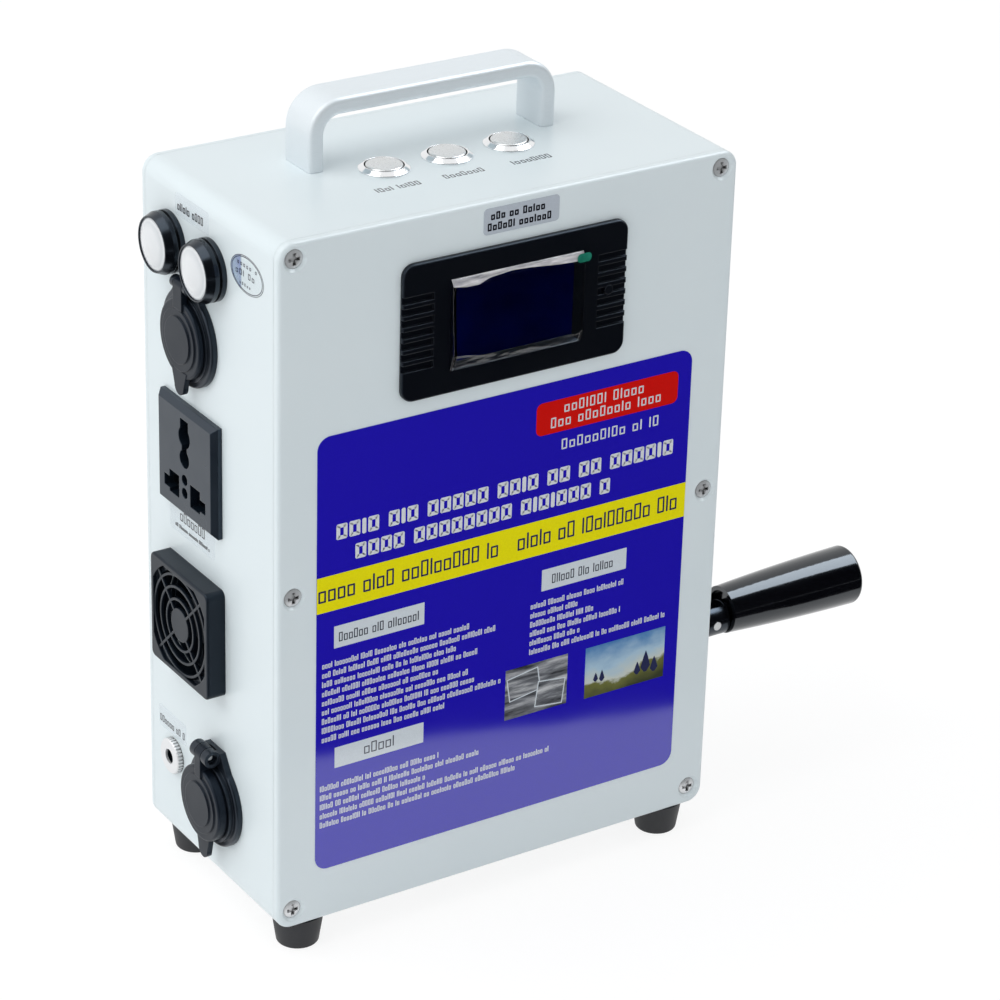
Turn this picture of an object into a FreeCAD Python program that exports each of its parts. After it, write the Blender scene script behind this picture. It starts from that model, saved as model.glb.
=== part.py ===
"""Hand-crank emergency power supply: a metal case with a battery pack, a geared
crank generator, a panel meter, two lamps and its output sockets.

Millimetres, +Z up. X runs to the right along the front, Y into the depth, and the
front is at -Y. The origin is the centre of the case's underside, between the feet.
"""
import FreeCAD
import Part

import math
import os

from FreeCAD import Vector

# ---------------------------------------------------------------- fits
RUNNING_GAP = 0.05          # radial gap of a shaft in its bore
LOOSE_GAP = 0.3             # gap round pieces that must not rub
PANEL_GAP = 0.2             # gap of a body in its panel hole

# ---------------------------------------------------------------- case
CASE_WIDTH = 182.2
CASE_DEPTH = 94.0
CASE_HEIGHT = 259.3
CASE_WALL = 1.6
CASE_CORNER_RADIUS = 6.0
COVER_THICKNESS = 3.0
COVER_EDGE_RADIUS = 1.5
COVER_SCREW_INSET_SIDE = 6.4
COVER_SCREW_INSET_BOTTOM = 7.0
COVER_SCREW_INSET_TOP = 6.0
COVER_SCREW_RADIUS = 1.5
COVER_SCREW_HEAD_RADIUS = 3.4
COVER_SCREW_HEAD_HEIGHT = 1.4
COVER_SCREW_DOME = 0.8      # the raised head's height above its seat
COVER_SCREW_LENGTH = 10.0
COVER_DISH_RADIUS = 4.4
COVER_DISH_DEPTH = 1.1
COVER_RECESS_DEPTH = 1.5
RECESS_REACH = 0.62         # cross recess arm, as a share of the head's radius
RECESS_BLADE = 0.2         # half width of an arm, as a share of the head's radius
BOSS_RADIUS = 3.5
BOSS_LENGTH = 10.5
BOSS_FLOOR = 1.0            # left solid behind the screw's hole
BOSS_GAP = 1.0              # from a boss to the gearbox plate's notch
VENT_SLOT_WIDTH = 3.0
VENT_SLOT_LENGTH = 30.0
VENT_SLOT_PITCH = 8.0
VENT_SLOT_COUNT = 8
VENT_SLOT_Z = 96.0

# ---------------------------------------------------------------- feet
FOOT_HEIGHT = 12.0
FOOT_TOP_RADIUS = 9.4
FOOT_SOLE_RADIUS = 7.6
FOOT_SOLE_ROUND = 1.0
FOOT_INSET_SIDE = 13.6
FOOT_INSET_FRONT = 9.6
FOOT_RECESS_RADIUS = 4.2
FOOT_RECESS_DEPTH = 6.0
FOOT_SCREW_RADIUS = 2.0
FOOT_SCREW_HEAD_RADIUS = 3.6
FOOT_SCREW_HEAD_HEIGHT = 2.4
FOOT_SCREW_REACH = 4.0      # length that stands up inside the case
FOOT_NUT_WIDTH = 7.0        # across the flats
FOOT_NUT_THICKNESS = 3.2

# ---------------------------------------------------------------- carrying handle
HANDLE_SPACING = 93.0       # between the middles of the legs
HANDLE_X = -1.0
HANDLE_Y = 11.7
HANDLE_RISE = 25.0
HANDLE_BAR_THICKNESS = 6.0
HANDLE_BAR_WIDTH = 17.4
HANDLE_BEND_RADIUS = 12.5
HANDLE_EDGE_ROUND = 1.8
HANDLE_SCREW_RADIUS = 2.0
HANDLE_SCREW_DEPTH = 12.0
HANDLE_SCREW_REACH = 11.0
HANDLE_SCREW_HEAD_RADIUS = 3.8
HANDLE_SCREW_HEAD_HEIGHT = 2.6

# ---------------------------------------------------------------- labels
LABEL_THICKNESS = 0.2
FRONT_LABEL_WIDTH = 152.0
FRONT_LABEL_HEIGHT = 167.4
FRONT_LABEL_X = -0.1
FRONT_LABEL_Z = 104.0
FRONT_LABEL_CORNER = 5.0
METER_LABEL_WIDTH = 30.0
METER_LABEL_HEIGHT = 9.4
METER_LABEL_X = 2.2
METER_LABEL_Z = 252.2
METER_LABEL_CORNER = 1.5

# ---------------------------------------------------------------- panel meter
METER_WIDTH = 89.6
METER_HEIGHT = 49.6
METER_X = 0.1
METER_Z = 218.6
METER_RIM = 2.0             # how far the bezel stands proud of the cover
METER_CORNER_RADIUS = 4.5
METER_EDGE_ROUND = 0.8
METER_BODY_MARGIN = 2.0     # the body is this much smaller than the bezel all round
METER_BODY_DEPTH = 22.0
METER_BODY_WALL = 1.5
METER_WINDOW_WIDTH = 48.0
METER_WINDOW_HEIGHT = 28.6
METER_WINDOW_SLOPE = 2.2    # how much wider the window is at the bezel's face, on each side
METER_WINDOW_SLOPE_DEPTH = 1.6
METER_GLASS_SETBACK = 1.8
METER_GLASS_THICKNESS = 4.0
METER_GROOVE_COUNT = 7
METER_GROOVE_PITCH = 4.1
METER_GROOVE_WIDTH = 2.5
METER_GROOVE_LENGTH = 12.0
METER_GROOVE_DEPTH = 1.2
METER_KEY_RADIUS = 1.7
METER_KEY_COLLAR_RADIUS = 2.6
METER_KEY_X = 37.4          # from the meter's middle
METER_KEY_LENGTH = 5.0
METER_KEY_PROUD = 0.2

# ---------------------------------------------------------------- push switches
SWITCH_PITCH = 25.0
SWITCH_X = -0.5
SWITCH_Y = -4.1
SWITCH_RING_RADIUS = 9.0
SWITCH_RING_HEIGHT = 1.5
SWITCH_RING_LIP = 0.4       # upright part of the ring's rim
SWITCH_RING_BEVEL = 1.6
SWITCH_BARREL_RADIUS = 7.8
SWITCH_BARREL_LENGTH = 24.0
SWITCH_WELL_DEPTH = 5.2     # below the top of the ring
SWITCH_WELL_RADIUS = 6.95
SWITCH_BUTTON_RADIUS = 6.5
SWITCH_BUTTON_THICKNESS = 2.6
SWITCH_BUTTON_ROUND = 0.6
SWITCH_BUTTON_PROUD = 0.3
SWITCH_STEM_RADIUS = 3.0
SWITCH_STEM_LENGTH = 6.0
SWITCH_TRAVEL = 1.5
SWITCH_NUT_WIDTH = 20.0     # across the flats
SWITCH_NUT_THICKNESS = 3.0
TERMINAL_WIDTH = 2.8
TERMINAL_THICKNESS = 0.8
TERMINAL_LENGTH = 5.0

# ---------------------------------------------------------------- lamps
LAMP_FRONT_Y = -2.4
LAMP_REAR_Y = 26.1
LAMP_Z = 235.2
LAMP_FLANGE_RADIUS = 11.0
LAMP_FLANGE_THICKNESS = 1.8
LAMP_NECK_RADIUS = 9.9
LAMP_RING_RADIUS = 11.0
LAMP_RING_START = 2.8
LAMP_RING_END = 7.2
LAMP_RING_TAPER = 1.2
LAMP_RING_TAPER_LENGTH = 2.8
LAMP_LENS_RADIUS = 9.3
LAMP_LENS_DOME = 1.8
LAMP_LENS_THICKNESS = 2.0
LAMP_LENS_SETBACK = 0.5     # the lens's rim behind the ring's front
LAMP_BARREL_RADIUS = 7.8
LAMP_BARREL_LENGTH = 16.0
LAMP_BORE_RADIUS = 6.6
LAMP_BOARD_THICKNESS = 1.6
LAMP_LED_RADIUS = 2.5
LAMP_LED_HEIGHT = 2.0
LAMP_NUT_WIDTH = 19.0
LAMP_NUT_THICKNESS = 3.0

# ---------------------------------------------------------------- capped round sockets
USB_Y = 11.2
USB_Z = 205.6
USB_COLLAR_THICKNESS = 0.7
USB_CAP_THICKNESS = 1.8
USB_HINGE_STANDOFF = 3.6    # hinge line out from the case wall
USB_HINGE_HALF_WIDTH = 5.3
USB_TONGUE_HALF_WIDTH = 3.0
USB_KNUCKLE_RADIUS = 2.2
USB_EYE_RADIUS = 1.4        # open eye at a knuckle's end
USB_EYE_DEPTH = 0.4
USB_TAB_REACH = 20.4        # from the cap's middle to the tab's tip
DC_Y = -4.6
DC_Z = 33.0
DC_COLLAR_THICKNESS = 1.7
DC_CAP_THICKNESS = 3.4
DC_HINGE_STANDOFF = 5.2
DC_HINGE_HALF_WIDTH = 5.6
DC_TONGUE_HALF_WIDTH = 2.0
DC_KNUCKLE_RADIUS = 3.2
DC_EYE_RADIUS = 1.9
DC_EYE_DEPTH = 2.0
DC_TAB_REACH = 22.4
SOCKET_FLANGE_RADIUS = 17.6
SOCKET_FLANGE_THICKNESS = 2.4
SOCKET_FLANGE_ROUND = 0.8
SOCKET_COLLAR_RADIUS = 15.4
SOCKET_BARREL_RADIUS = 14.2
SOCKET_BARREL_LENGTH = 42.0
SOCKET_BORE_RADIUS = 10.5
SOCKET_RELIEF_RADIUS = 11.0 # wider bore at the mouth and at the floor
SOCKET_MOUTH_RELIEF = 5.0
SOCKET_FLOOR_RELIEF = 7.0
SOCKET_BACK_WALL = 3.0
SOCKET_NUT_RADIUS = 17.0
SOCKET_NUT_THICKNESS = 5.0
SOCKET_LOBE_FOOT = 11.8      # half width of the lobe where it leaves the flange
SOCKET_LOBE_FOOT_RISE = 12.0
HINGE_RISE = 19.6           # hinge line above the socket's middle
HINGE_PIN_RADIUS = 1.0
CAP_RADIUS = 14.2
CAP_EDGE_ROUND = 0.9
CAP_STEP_RADIUS = 11.2
CAP_STEP_HEIGHT = 0.5
CAP_DISC_RADIUS = 8.5
CAP_DISC_HEIGHT = 0.5
CAP_PLUG_RADIUS = 9.7
CAP_PLUG_WALL = 1.6
CAP_PLUG_DEPTH = 3.2
CAP_TAB_ROOT_WIDTH = 10.4
CAP_TAB_TIP_WIDTH = 6.4
CAP_TAB_THICKNESS = 2.0
CONTACT_RADIUS = 2.4
CONTACT_HEIGHT = 4.0
CONTACT_BASE_RADIUS = 3.6
CONTACT_BASE_HEIGHT = 1.3
USB_FACE_DEPTH = 6.0        # how deep the port block sits in the socket's bore
USB_PORT_WIDTH = 13.0
USB_PORT_HEIGHT = 5.4
USB_PORT_SPACING = 8.6
USB_PORT_DEPTH = 12.0
USB_BLADE_WIDTH = 10.5
USB_BLADE_THICKNESS = 1.8
USB_BLADE_LENGTH = 9.0

# ---------------------------------------------------------------- mains outlet
AC_Y = 11.3
AC_Z = 158.5
AC_PLATE_WIDTH = 40.5
AC_PLATE_HEIGHT = 41.7
AC_PLATE_THICKNESS = 3.6
AC_PLATE_BEVEL = 1.9
AC_BODY_WIDTH = 35.0
AC_BODY_HEIGHT = 38.0
AC_BODY_DEPTH = 20.0
AC_BODY_BACK = 3.0
# a line slot is a tall hole beside the middle that runs on into a low one
AC_LINE_INNER = 4.0         # from the plate's middle
AC_LINE_TALL_OUTER = 10.9
AC_LINE_LOW_OUTER = 14.7
AC_LINE_TALL_DROP = 14.6    # foot of the hole below the plate's middle
AC_LINE_TALL_HEIGHT = 8.5
AC_LINE_LOW_DROP = 13.4
AC_LINE_LOW_HEIGHT = 4.4
# the earth slot's heights are above the plate's middle
AC_EARTH_ROUND_RISE = 10.1
AC_EARTH_ROUND_RADIUS = 4.05
AC_EARTH_TIP = 6.5          # straight tip above the round hole's middle
AC_EARTH_WIDTH = 5.6
AC_EARTH_FOOT_RISE = 1.9
AC_EARTH_FOOT_RADIUS = 3.4
AC_EARTH_NECK_WIDTH = 3.6
AC_HOLE_RADIUS = 2.0
AC_HOLE_DROPS = (11.1, 6.1)

# ---------------------------------------------------------------- fan
FAN_Y = 10.2
FAN_Z = 97.2
GUARD_SIZE = 41.4
GUARD_DEPTH = 7.2
GUARD_WALL = 1.6
GUARD_FACE = 1.6
GUARD_CORNER = 2.5
GUARD_OPENING = 37.4        # across the opening's straight sides
GUARD_OPENING_RADIUS = 21.8
GUARD_RING_RADIUS = 9.6     # the innermost ring
GUARD_RING_PITCH = 4.5
GUARD_RING_COUNT = 3
GUARD_RING_WIDTH = 0.9
GUARD_SPOKE_WIDTH = 0.9
GUARD_ROOM_RADIUS = 19.9    # round room behind the grille, the corners stay solid
GUARD_HUB_RADIUS = 6.2
FAN_SIZE = 40.0
FAN_DEPTH = 10.0
FAN_DUCT_RADIUS = 18.6
FAN_WALL_HOLE_RADIUS = 19.8
FAN_HOLE_SPACING = 32.0
FAN_SCREW_RADIUS = 1.5
FAN_SCREW_HEAD_RADIUS = 2.7
FAN_SCREW_HEAD_HEIGHT = 1.8
FAN_SCREW_REACH = 4.0       # into the guard's corners
FAN_MOTOR_RADIUS = 8.6
FAN_MOTOR_PLATE = 1.6
FAN_STRUT_WIDTH = 2.0
FAN_STRUT_ROOT = 0.5        # sunk into the frame round the duct
FAN_SPINDLE_RADIUS = 1.0
FAN_HUB_RADIUS = 9.0
FAN_HUB_WALL = 1.4
FAN_BLADE_TIP_RADIUS = 18.0
FAN_BLADE_THICKNESS = 1.0
FAN_BLADE_CHORD = 9.0
FAN_BLADE_PITCH = 38.0      # degrees from the plane of rotation
FAN_BLADE_COUNT = 9

# ---------------------------------------------------------------- charging jack
JACK_Y = 27.8
JACK_Z = 34.4
JACK_BARREL_RADIUS = 5.3
JACK_BARREL_LENGTH = 14.0
JACK_PROUD = 1.5
JACK_BORE_RADIUS = 3.0
JACK_BORE_DEPTH = 11.0
JACK_PIN_RADIUS = 1.0
JACK_PIN_LENGTH = 9.5
JACK_FLANGE_RADIUS = 7.2
JACK_FLANGE_THICKNESS = 1.5
JACK_NUT_RADIUS = 6.8
JACK_NUT_THICKNESS = 2.4
JACK_NUT_BEVEL = 0.5
JACK_NUT_OPENING = 2.8
JACK_NUT_FLUTE_COUNT = 32
JACK_NUT_FLUTE_RADIUS = 0.3

# ---------------------------------------------------------------- crank
SHAFT_Z = 130.0
SHAFT_RADIUS = 5.0
SHAFT_END_GAP = 0.5         # from the inner plate's far face
BEARING_FLANGE_RADIUS = 13.0
BEARING_FLANGE_THICKNESS = 3.0
BEARING_BARREL_RADIUS = 8.0
ARM_GAP = 1.4               # between the bearing's flange and the arm's hub
ARM_LENGTH = 84.6           # from the shaft's axis to the grip's hinge pin
ARM_THICKNESS = 7.0
ARM_HUB_RADIUS = 11.0
ARM_HUB_LENGTH = 14.0
ARM_HUB_FLOOR = 1.0         # left between the shaft's end and the screw's head
ARM_END_RADIUS = 8.0
ARM_EDGE_ROUND = 1.2
TONGUE_THICKNESS = 5.0
TONGUE_RADIUS = 5.0
TONGUE_LENGTH = 15.4        # from the arm's face to the hinge pin
GRIP_PIN_RADIUS = 1.7
FERRULE_RADIUS = 6.6
FERRULE_TAIL = 6.0          # from the hinge pin to the ferrule's slotted end
GRIP_RISE = 2.7             # grip's axis above the ferrule's
GRIP_START = 6.2            # from the hinge pin to the grip's small end
GRIP_LENGTH = 60.0
GRIP_SMALL_RADIUS = 9.3
GRIP_MIDDLE_RADIUS = 10.9
GRIP_LARGE_RADIUS = 11.7
GRIP_EDGE_ROUND = 1.5
GRIP_MOUTH_DEPTH = 3.0
GRIP_MOUTH_RADIUS = 7.6
GRIP_SPINDLE_RADIUS = 3.8
GRIP_SPINDLE_END = 6.0      # spindle ends this far inside the grip's large end
GRIP_HEAD_RADIUS = 6.0
GRIP_HEAD_THICKNESS = 2.0
CRANK_SCREW_RADIUS = 2.5
CRANK_SCREW_LENGTH = 12.0
CRANK_SCREW_HEAD_RADIUS = 6.5
CRANK_SCREW_HEAD_HEIGHT = 3.0

# ---------------------------------------------------------------- gear train
GEAR_MODULE = 1.0
GEAR_ADDENDUM = 0.9         # in modules
GEAR_DEDENDUM = 1.2         # in modules
FLANK_STEPS = 3
GEAR_BACKLASH = 0.3
PRESSURE_ANGLE = 25.0
DRIVE_TEETH = 48
PINION_TEETH = 12
IDLER_TEETH = 32
GENERATOR_RISE = 18.0       # generator's axis above the crank shaft's
DRIVE_GEAR_WIDTH = 8.0
IDLER_GEAR_WIDTH = 6.0
PINION_OVERLAP = 0.5        # a pinion is this much wider than its gear on each side
GEAR_PLANE_GAP = 2.5        # between the two planes of gears
GEAR_WEB_HUB_RADIUS = 9.0
GEARBOX_PLATE = 3.0
GEARBOX_SPACE = 22.0        # between the two plates
GEARBOX_FRONT_GAP = 12.0    # from the plates to the front cover
GEARBOX_REAR_GAP = 3.0
GEARBOX_BOTTOM = 100.0
GEARBOX_TOP = 172.0
SPACER_RADIUS = 3.0
SPACER_INSET = 5.0
IDLER_SHAFT_RADIUS = 3.0
GENERATOR_RADIUS = 24.0
GENERATOR_LENGTH = 58.0
GENERATOR_WALL = 2.5
GENERATOR_SHAFT_RADIUS = 2.5
GENERATOR_NOSE_RADIUS = 8.4
ROTOR_RADIUS = 16.0
ROTOR_LENGTH = 34.0
ROTOR_SLOT_COUNT = 8
ROTOR_SLOT_WIDTH = 3.0
ROTOR_SLOT_DEPTH = 6.0

# ---------------------------------------------------------------- battery and boards
CELL_RADIUS = 9.2
CELL_LENGTH = 65.0
CELL_CAP_RADIUS = 3.0
CELL_CAP_HEIGHT = 1.0
CELL_PITCH = 18.9
CELL_COLUMNS = 6
CELL_ROWS = 4
CELL_SIDE_GAP = 7.0         # from the holders to the right wall, clear of its bottom corner
HOLDER_THICKNESS = 8.0
HOLDER_MARGIN = 1.6
HOLDER_SPACING = 50.0       # between the middles of the two holders
BOARD_THICKNESS = 1.6
INVERTER_LENGTH = 112.0
INVERTER_DEPTH = 76.0
INVERTER_STANDOFF = 5.0
STANDOFF_RADIUS = 2.5
STANDOFF_INSET = 5.0
TRANSFORMER_SIZE = 30.0
TRANSFORMER_HEIGHT = 26.0
HEAT_SINK_WIDTH = 22.0
HEAT_SINK_HEIGHT = 28.0
HEAT_SINK_FIN_COUNT = 5
HEAT_SINK_FIN_WIDTH = 1.6
CAPACITOR_RADIUS = 5.0
CAPACITOR_HEIGHT = 9.0
CAPACITOR_PITCH = 15.0
CAPACITOR_COUNT = 3
CHARGE_BOARD_WIDTH = 34.0
CHARGE_BOARD_HEIGHT = 60.0
CHARGE_BOARD_X = -54.0
CHARGE_BOARD_Z = 40.0
CHARGE_STANDOFF = 4.0
CHIP_SIZE = 9.0
CHIP_HEIGHT = 2.0

# ---------------------------------------------------------------- derived places
HALF_WIDTH = CASE_WIDTH / 2
HALF_DEPTH = CASE_DEPTH / 2
INNER_HALF_WIDTH = HALF_WIDTH - CASE_WALL
SHELL_HALF_DEPTH = HALF_DEPTH - COVER_THICKNESS
LEFT = -HALF_WIDTH          # outer face of the left wall
RIGHT = HALF_WIDTH
FRONT = -HALF_DEPTH
CEILING = CASE_HEIGHT - CASE_WALL
GEARBOX_FRONT_Y = GEARBOX_FRONT_GAP - SHELL_HALF_DEPTH
GEARBOX_REAR_Y = SHELL_HALF_DEPTH - GEARBOX_REAR_GAP

X_AXIS = Vector(1, 0, 0)
Z_AXIS = Vector(0, 0, 1)


# ---------------------------------------------------------------- building blocks
def box(low, high):
    """Box between two opposite corners."""
    size = [b - a for a, b in zip(low, high)]
    return Part.makeBox(*size, Vector(*low))


def rod(radius, start, end):
    """Cylinder between two points."""
    a, b = Vector(*start), Vector(*end)
    return Part.makeCylinder(radius, (b - a).Length, a, b - a)


def cone(radius_a, radius_b, start, end):
    """Cone frustum between two points."""
    a, b = Vector(*start), Vector(*end)
    return Part.makeCone(radius_a, radius_b, (b - a).Length, a, b - a)


def fuse(*shapes):
    """One clean solid or group from touching shapes."""
    return shapes[0].fuse(list(shapes[1:])).removeSplitter()


def group(shapes):
    """Separate solids kept together in one sub-part."""
    return Part.makeCompound(list(shapes))


def lathe(points, origin, direction):
    """Solid of revolution: each point is (distance along the axis, radius)."""
    outline = Part.makePolygon([Vector(r, 0, d) for d, r in points] + [Vector(points[0][1], 0, points[0][0])])
    solid = Part.Face(outline).revolve(Vector(0, 0, 0), Z_AXIS, 360)
    turn = FreeCAD.Rotation(Z_AXIS, Vector(*direction))
    solid.Placement = FreeCAD.Placement(Vector(*origin), turn)
    return solid


def rounded_block(low, high, radius, axis):
    """Box with the four edges along one axis rounded."""
    block = box(low, high)
    edges = [e for e in block.Edges if abs(e.tangentAt(e.FirstParameter)[axis]) > 0.9]
    return block.makeFillet(radius, edges)


def edges_at(shape, axis, value):
    """Edges that lie wholly in the plane where one coordinate has this value."""
    keys = (("XMin", "XMax"), ("YMin", "YMax"), ("ZMin", "ZMax"))[axis]
    tolerance = 1e-4
    return [
        e for e in shape.Edges
        if abs(getattr(e.BoundBox, keys[0]) - value) < tolerance
        and abs(getattr(e.BoundBox, keys[1]) - value) < tolerance
    ]


def round_rim(shape, axis, value, radius):
    """Fillet every edge in one plane."""
    return shape.makeFillet(radius, edges_at(shape, axis, value))


def bevel_rim(shape, axis, value, size):
    """Chamfer every edge in one plane."""
    return shape.makeChamfer(size, edges_at(shape, axis, value))


def wall_plate(points, x_low, x_high):
    """Flat plate that lies against the side wall, from its outline of (y, z) points."""
    outline = Part.makePolygon([Vector(x_low, y, z) for y, z in points + points[:1]])
    return Part.Face(outline).extrude(X_AXIS * (x_high - x_low))


def hex_nut(width, thickness, bore, centre, direction):
    """Hexagon nut, one face at centre, its thickness along direction."""
    corner = width / 2 / math.cos(math.pi / 6)
    points = [
        Vector(corner * math.cos(math.pi / 3 * k), corner * math.sin(math.pi / 3 * k), 0)
        for k in range(7)
    ]
    nut = Part.Face(Part.makePolygon(points)).extrude(Z_AXIS * thickness)
    nut = nut.cut(Part.makeCylinder(bore, thickness))
    turn = FreeCAD.Rotation(Z_AXIS, Vector(*direction))
    nut.Placement = FreeCAD.Placement(Vector(*centre), turn)
    return nut


def cross_recess(radius, depth, centre, direction):
    """The cutter of a cross-head recess that sinks into a screw head."""
    blade = radius * RECESS_BLADE
    reach = radius * RECESS_REACH
    arms = fuse(
        Part.makeBox(2 * reach, 2 * blade, depth, Vector(-reach, -blade, -depth)),
        Part.makeBox(2 * blade, 2 * reach, depth, Vector(-blade, -reach, -depth)),
    )
    turn = FreeCAD.Rotation(Z_AXIS, Vector(*direction))
    arms.Placement = FreeCAD.Placement(Vector(*centre), turn)
    return arms


# ---------------------------------------------------------------- case
def cover_screw_places():
    """The six screw places of a cover, as (x, z)."""
    low = COVER_SCREW_INSET_BOTTOM
    high = CASE_HEIGHT - COVER_SCREW_INSET_TOP
    side = HALF_WIDTH - COVER_SCREW_INSET_SIDE
    return [(sx * side, z) for sx in (-1, 1) for z in (low, (low + high) / 2, high)]


def vent_slots(y_low, y_high):
    """Upright ventilation slots through the rear cover."""
    cutters = []
    for k in range(VENT_SLOT_COUNT):
        x = (k - (VENT_SLOT_COUNT - 1) / 2) * VENT_SLOT_PITCH
        half = VENT_SLOT_WIDTH / 2
        top = VENT_SLOT_Z + VENT_SLOT_LENGTH
        cutters.append(box((x - half, y_low, VENT_SLOT_Z), (x + half, y_high, top)))
        cutters.append(rod(half, (x, y_low, top), (x, y_high, top)))
        cutters.append(rod(half, (x, y_low, VENT_SLOT_Z), (x, y_high, VENT_SLOT_Z)))
    return cutters


def make_case_shell():
    """Ring of sheet metal that forms the sides, top and floor, with its screw bosses."""
    outer = rounded_block(
        (LEFT, -SHELL_HALF_DEPTH, 0), (RIGHT, SHELL_HALF_DEPTH, CASE_HEIGHT), CASE_CORNER_RADIUS, 1)
    inner = rounded_block(
        (LEFT + CASE_WALL, -SHELL_HALF_DEPTH, CASE_WALL),
        (RIGHT - CASE_WALL, SHELL_HALF_DEPTH, CEILING),
        CASE_CORNER_RADIUS - CASE_WALL, 1)
    shell = outer.cut(inner)
    bosses = []
    for x, z in cover_screw_places():
        for side in (-1, 1):
            face = side * SHELL_HALF_DEPTH
            deep = face - side * BOSS_LENGTH
            wall = math.copysign(INNER_HALF_WIDTH + CASE_WALL / 2, x)
            web = box(
                (min(x, wall), min(face, deep), z - BOSS_RADIUS / 2),
                (max(x, wall), max(face, deep), z + BOSS_RADIUS / 2))
            bosses += [rod(BOSS_RADIUS, (x, deep, z), (x, face, z)), web.common(outer)]
    shell = fuse(shell, *bosses)
    cutters = []
    for x, z in cover_screw_places():
        for side in (-1, 1):
            face = side * SHELL_HALF_DEPTH
            start = face - side * (BOSS_LENGTH - BOSS_FLOOR)
            cutters.append(rod(COVER_SCREW_RADIUS, (x, start, z), (x, face, z)))
    for x, y in foot_places():
        cutters.append(rod(FOOT_SCREW_RADIUS + PANEL_GAP, (x, y, 0), (x, y, CASE_WALL)))
    for x in handle_legs():
        cutters.append(
            rod(HANDLE_SCREW_RADIUS + PANEL_GAP, (x, HANDLE_Y, CEILING), (x, HANDLE_Y, CASE_HEIGHT)))
    for x in switch_places():
        cutters.append(
            rod(SWITCH_BARREL_RADIUS + PANEL_GAP, (x, SWITCH_Y, CEILING), (x, SWITCH_Y, CASE_HEIGHT)))
    inside = LEFT + CASE_WALL
    round_holes = [(y, LAMP_Z, LAMP_BARREL_RADIUS + PANEL_GAP) for y in (LAMP_FRONT_Y, LAMP_REAR_Y)]
    round_holes += [(y, z, SOCKET_BARREL_RADIUS + PANEL_GAP) for y, z in ((USB_Y, USB_Z), (DC_Y, DC_Z))]
    round_holes.append((JACK_Y, JACK_Z, JACK_BARREL_RADIUS + PANEL_GAP))
    round_holes.append((FAN_Y, FAN_Z, FAN_WALL_HOLE_RADIUS))
    round_holes += [(y, z, FAN_SCREW_RADIUS + PANEL_GAP) for y, z in fan_screw_places()]
    for y, z, radius in round_holes:
        cutters.append(rod(radius, (LEFT, y, z), (inside, y, z)))
    half_w = AC_BODY_WIDTH / 2 + PANEL_GAP
    half_h = AC_BODY_HEIGHT / 2 + PANEL_GAP
    cutters.append(box((LEFT, AC_Y - half_w, AC_Z - half_h), (inside, AC_Y + half_w, AC_Z + half_h)))
    cutters.append(
        rod(BEARING_BARREL_RADIUS + PANEL_GAP, (RIGHT - CASE_WALL, 0, SHAFT_Z), (RIGHT, 0, SHAFT_Z)))
    return shell.cut(cutters)


def make_cover(side):
    """Front (side -1) or rear (side 1) cover with rounded rim and dished screw holes."""
    outside = side * HALF_DEPTH
    inside = side * SHELL_HALF_DEPTH
    y_low, y_high = min(outside, inside), max(outside, inside)
    plate = rounded_block((LEFT, y_low, 0), (RIGHT, y_high, CASE_HEIGHT), CASE_CORNER_RADIUS, 1)
    plate = round_rim(plate, 1, outside, COVER_EDGE_RADIUS)
    cutters = []
    for x, z in cover_screw_places():
        hole = rod(COVER_SCREW_RADIUS + PANEL_GAP, (x, inside, z), (x, outside, z))
        seat = outside - side * COVER_DISH_DEPTH
        sink = cone(
            COVER_SCREW_RADIUS, COVER_SCREW_HEAD_RADIUS,
            (x, seat - side * COVER_SCREW_HEAD_HEIGHT, z), (x, seat, z))
        dish = cone(COVER_SCREW_HEAD_RADIUS, COVER_DISH_RADIUS, (x, seat, z), (x, outside, z))
        cutters += [hole, sink, dish]
    if side < 0:
        half_w = METER_WIDTH / 2 - METER_BODY_MARGIN + PANEL_GAP
        half_h = METER_HEIGHT / 2 - METER_BODY_MARGIN + PANEL_GAP
        cutters.append(box(
            (METER_X - half_w, y_low, METER_Z - half_h), (METER_X + half_w, y_high, METER_Z + half_h)))
    else:
        cutters += vent_slots(y_low, y_high)
    return plate.cut(cutters)


def make_cover_screws():
    """Raised countersunk cross-head screws of both covers."""
    screws = []
    ball_radius = (COVER_SCREW_HEAD_RADIUS ** 2 + COVER_SCREW_DOME ** 2) / (2 * COVER_SCREW_DOME)
    for x, z in cover_screw_places():
        for side in (-1, 1):
            seat = side * (HALF_DEPTH - COVER_DISH_DEPTH)
            neck = seat - side * COVER_SCREW_HEAD_HEIGHT
            tip = seat - side * COVER_SCREW_LENGTH
            crown = seat + side * COVER_SCREW_DOME
            head = cone(COVER_SCREW_RADIUS, COVER_SCREW_HEAD_RADIUS, (x, neck, z), (x, seat, z))
            ball = Part.makeSphere(ball_radius, Vector(x, crown - side * ball_radius, z))
            dome = ball.common(rod(COVER_SCREW_HEAD_RADIUS, (x, seat, z), (x, crown, z)))
            screw = fuse(head, dome, rod(COVER_SCREW_RADIUS, (x, neck, z), (x, tip, z)))
            screws.append(screw.cut(
                cross_recess(COVER_SCREW_HEAD_RADIUS, COVER_RECESS_DEPTH, (x, crown, z), (0, side, 0))))
    return group(screws)


# ---------------------------------------------------------------- feet
def foot_places():
    """Middles of the four feet, as (x, y)."""
    x = HALF_WIDTH - FOOT_INSET_SIDE
    y = HALF_DEPTH - FOOT_INSET_FRONT
    return [(-x, -y), (x, -y), (-x, y), (x, y)]


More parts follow.
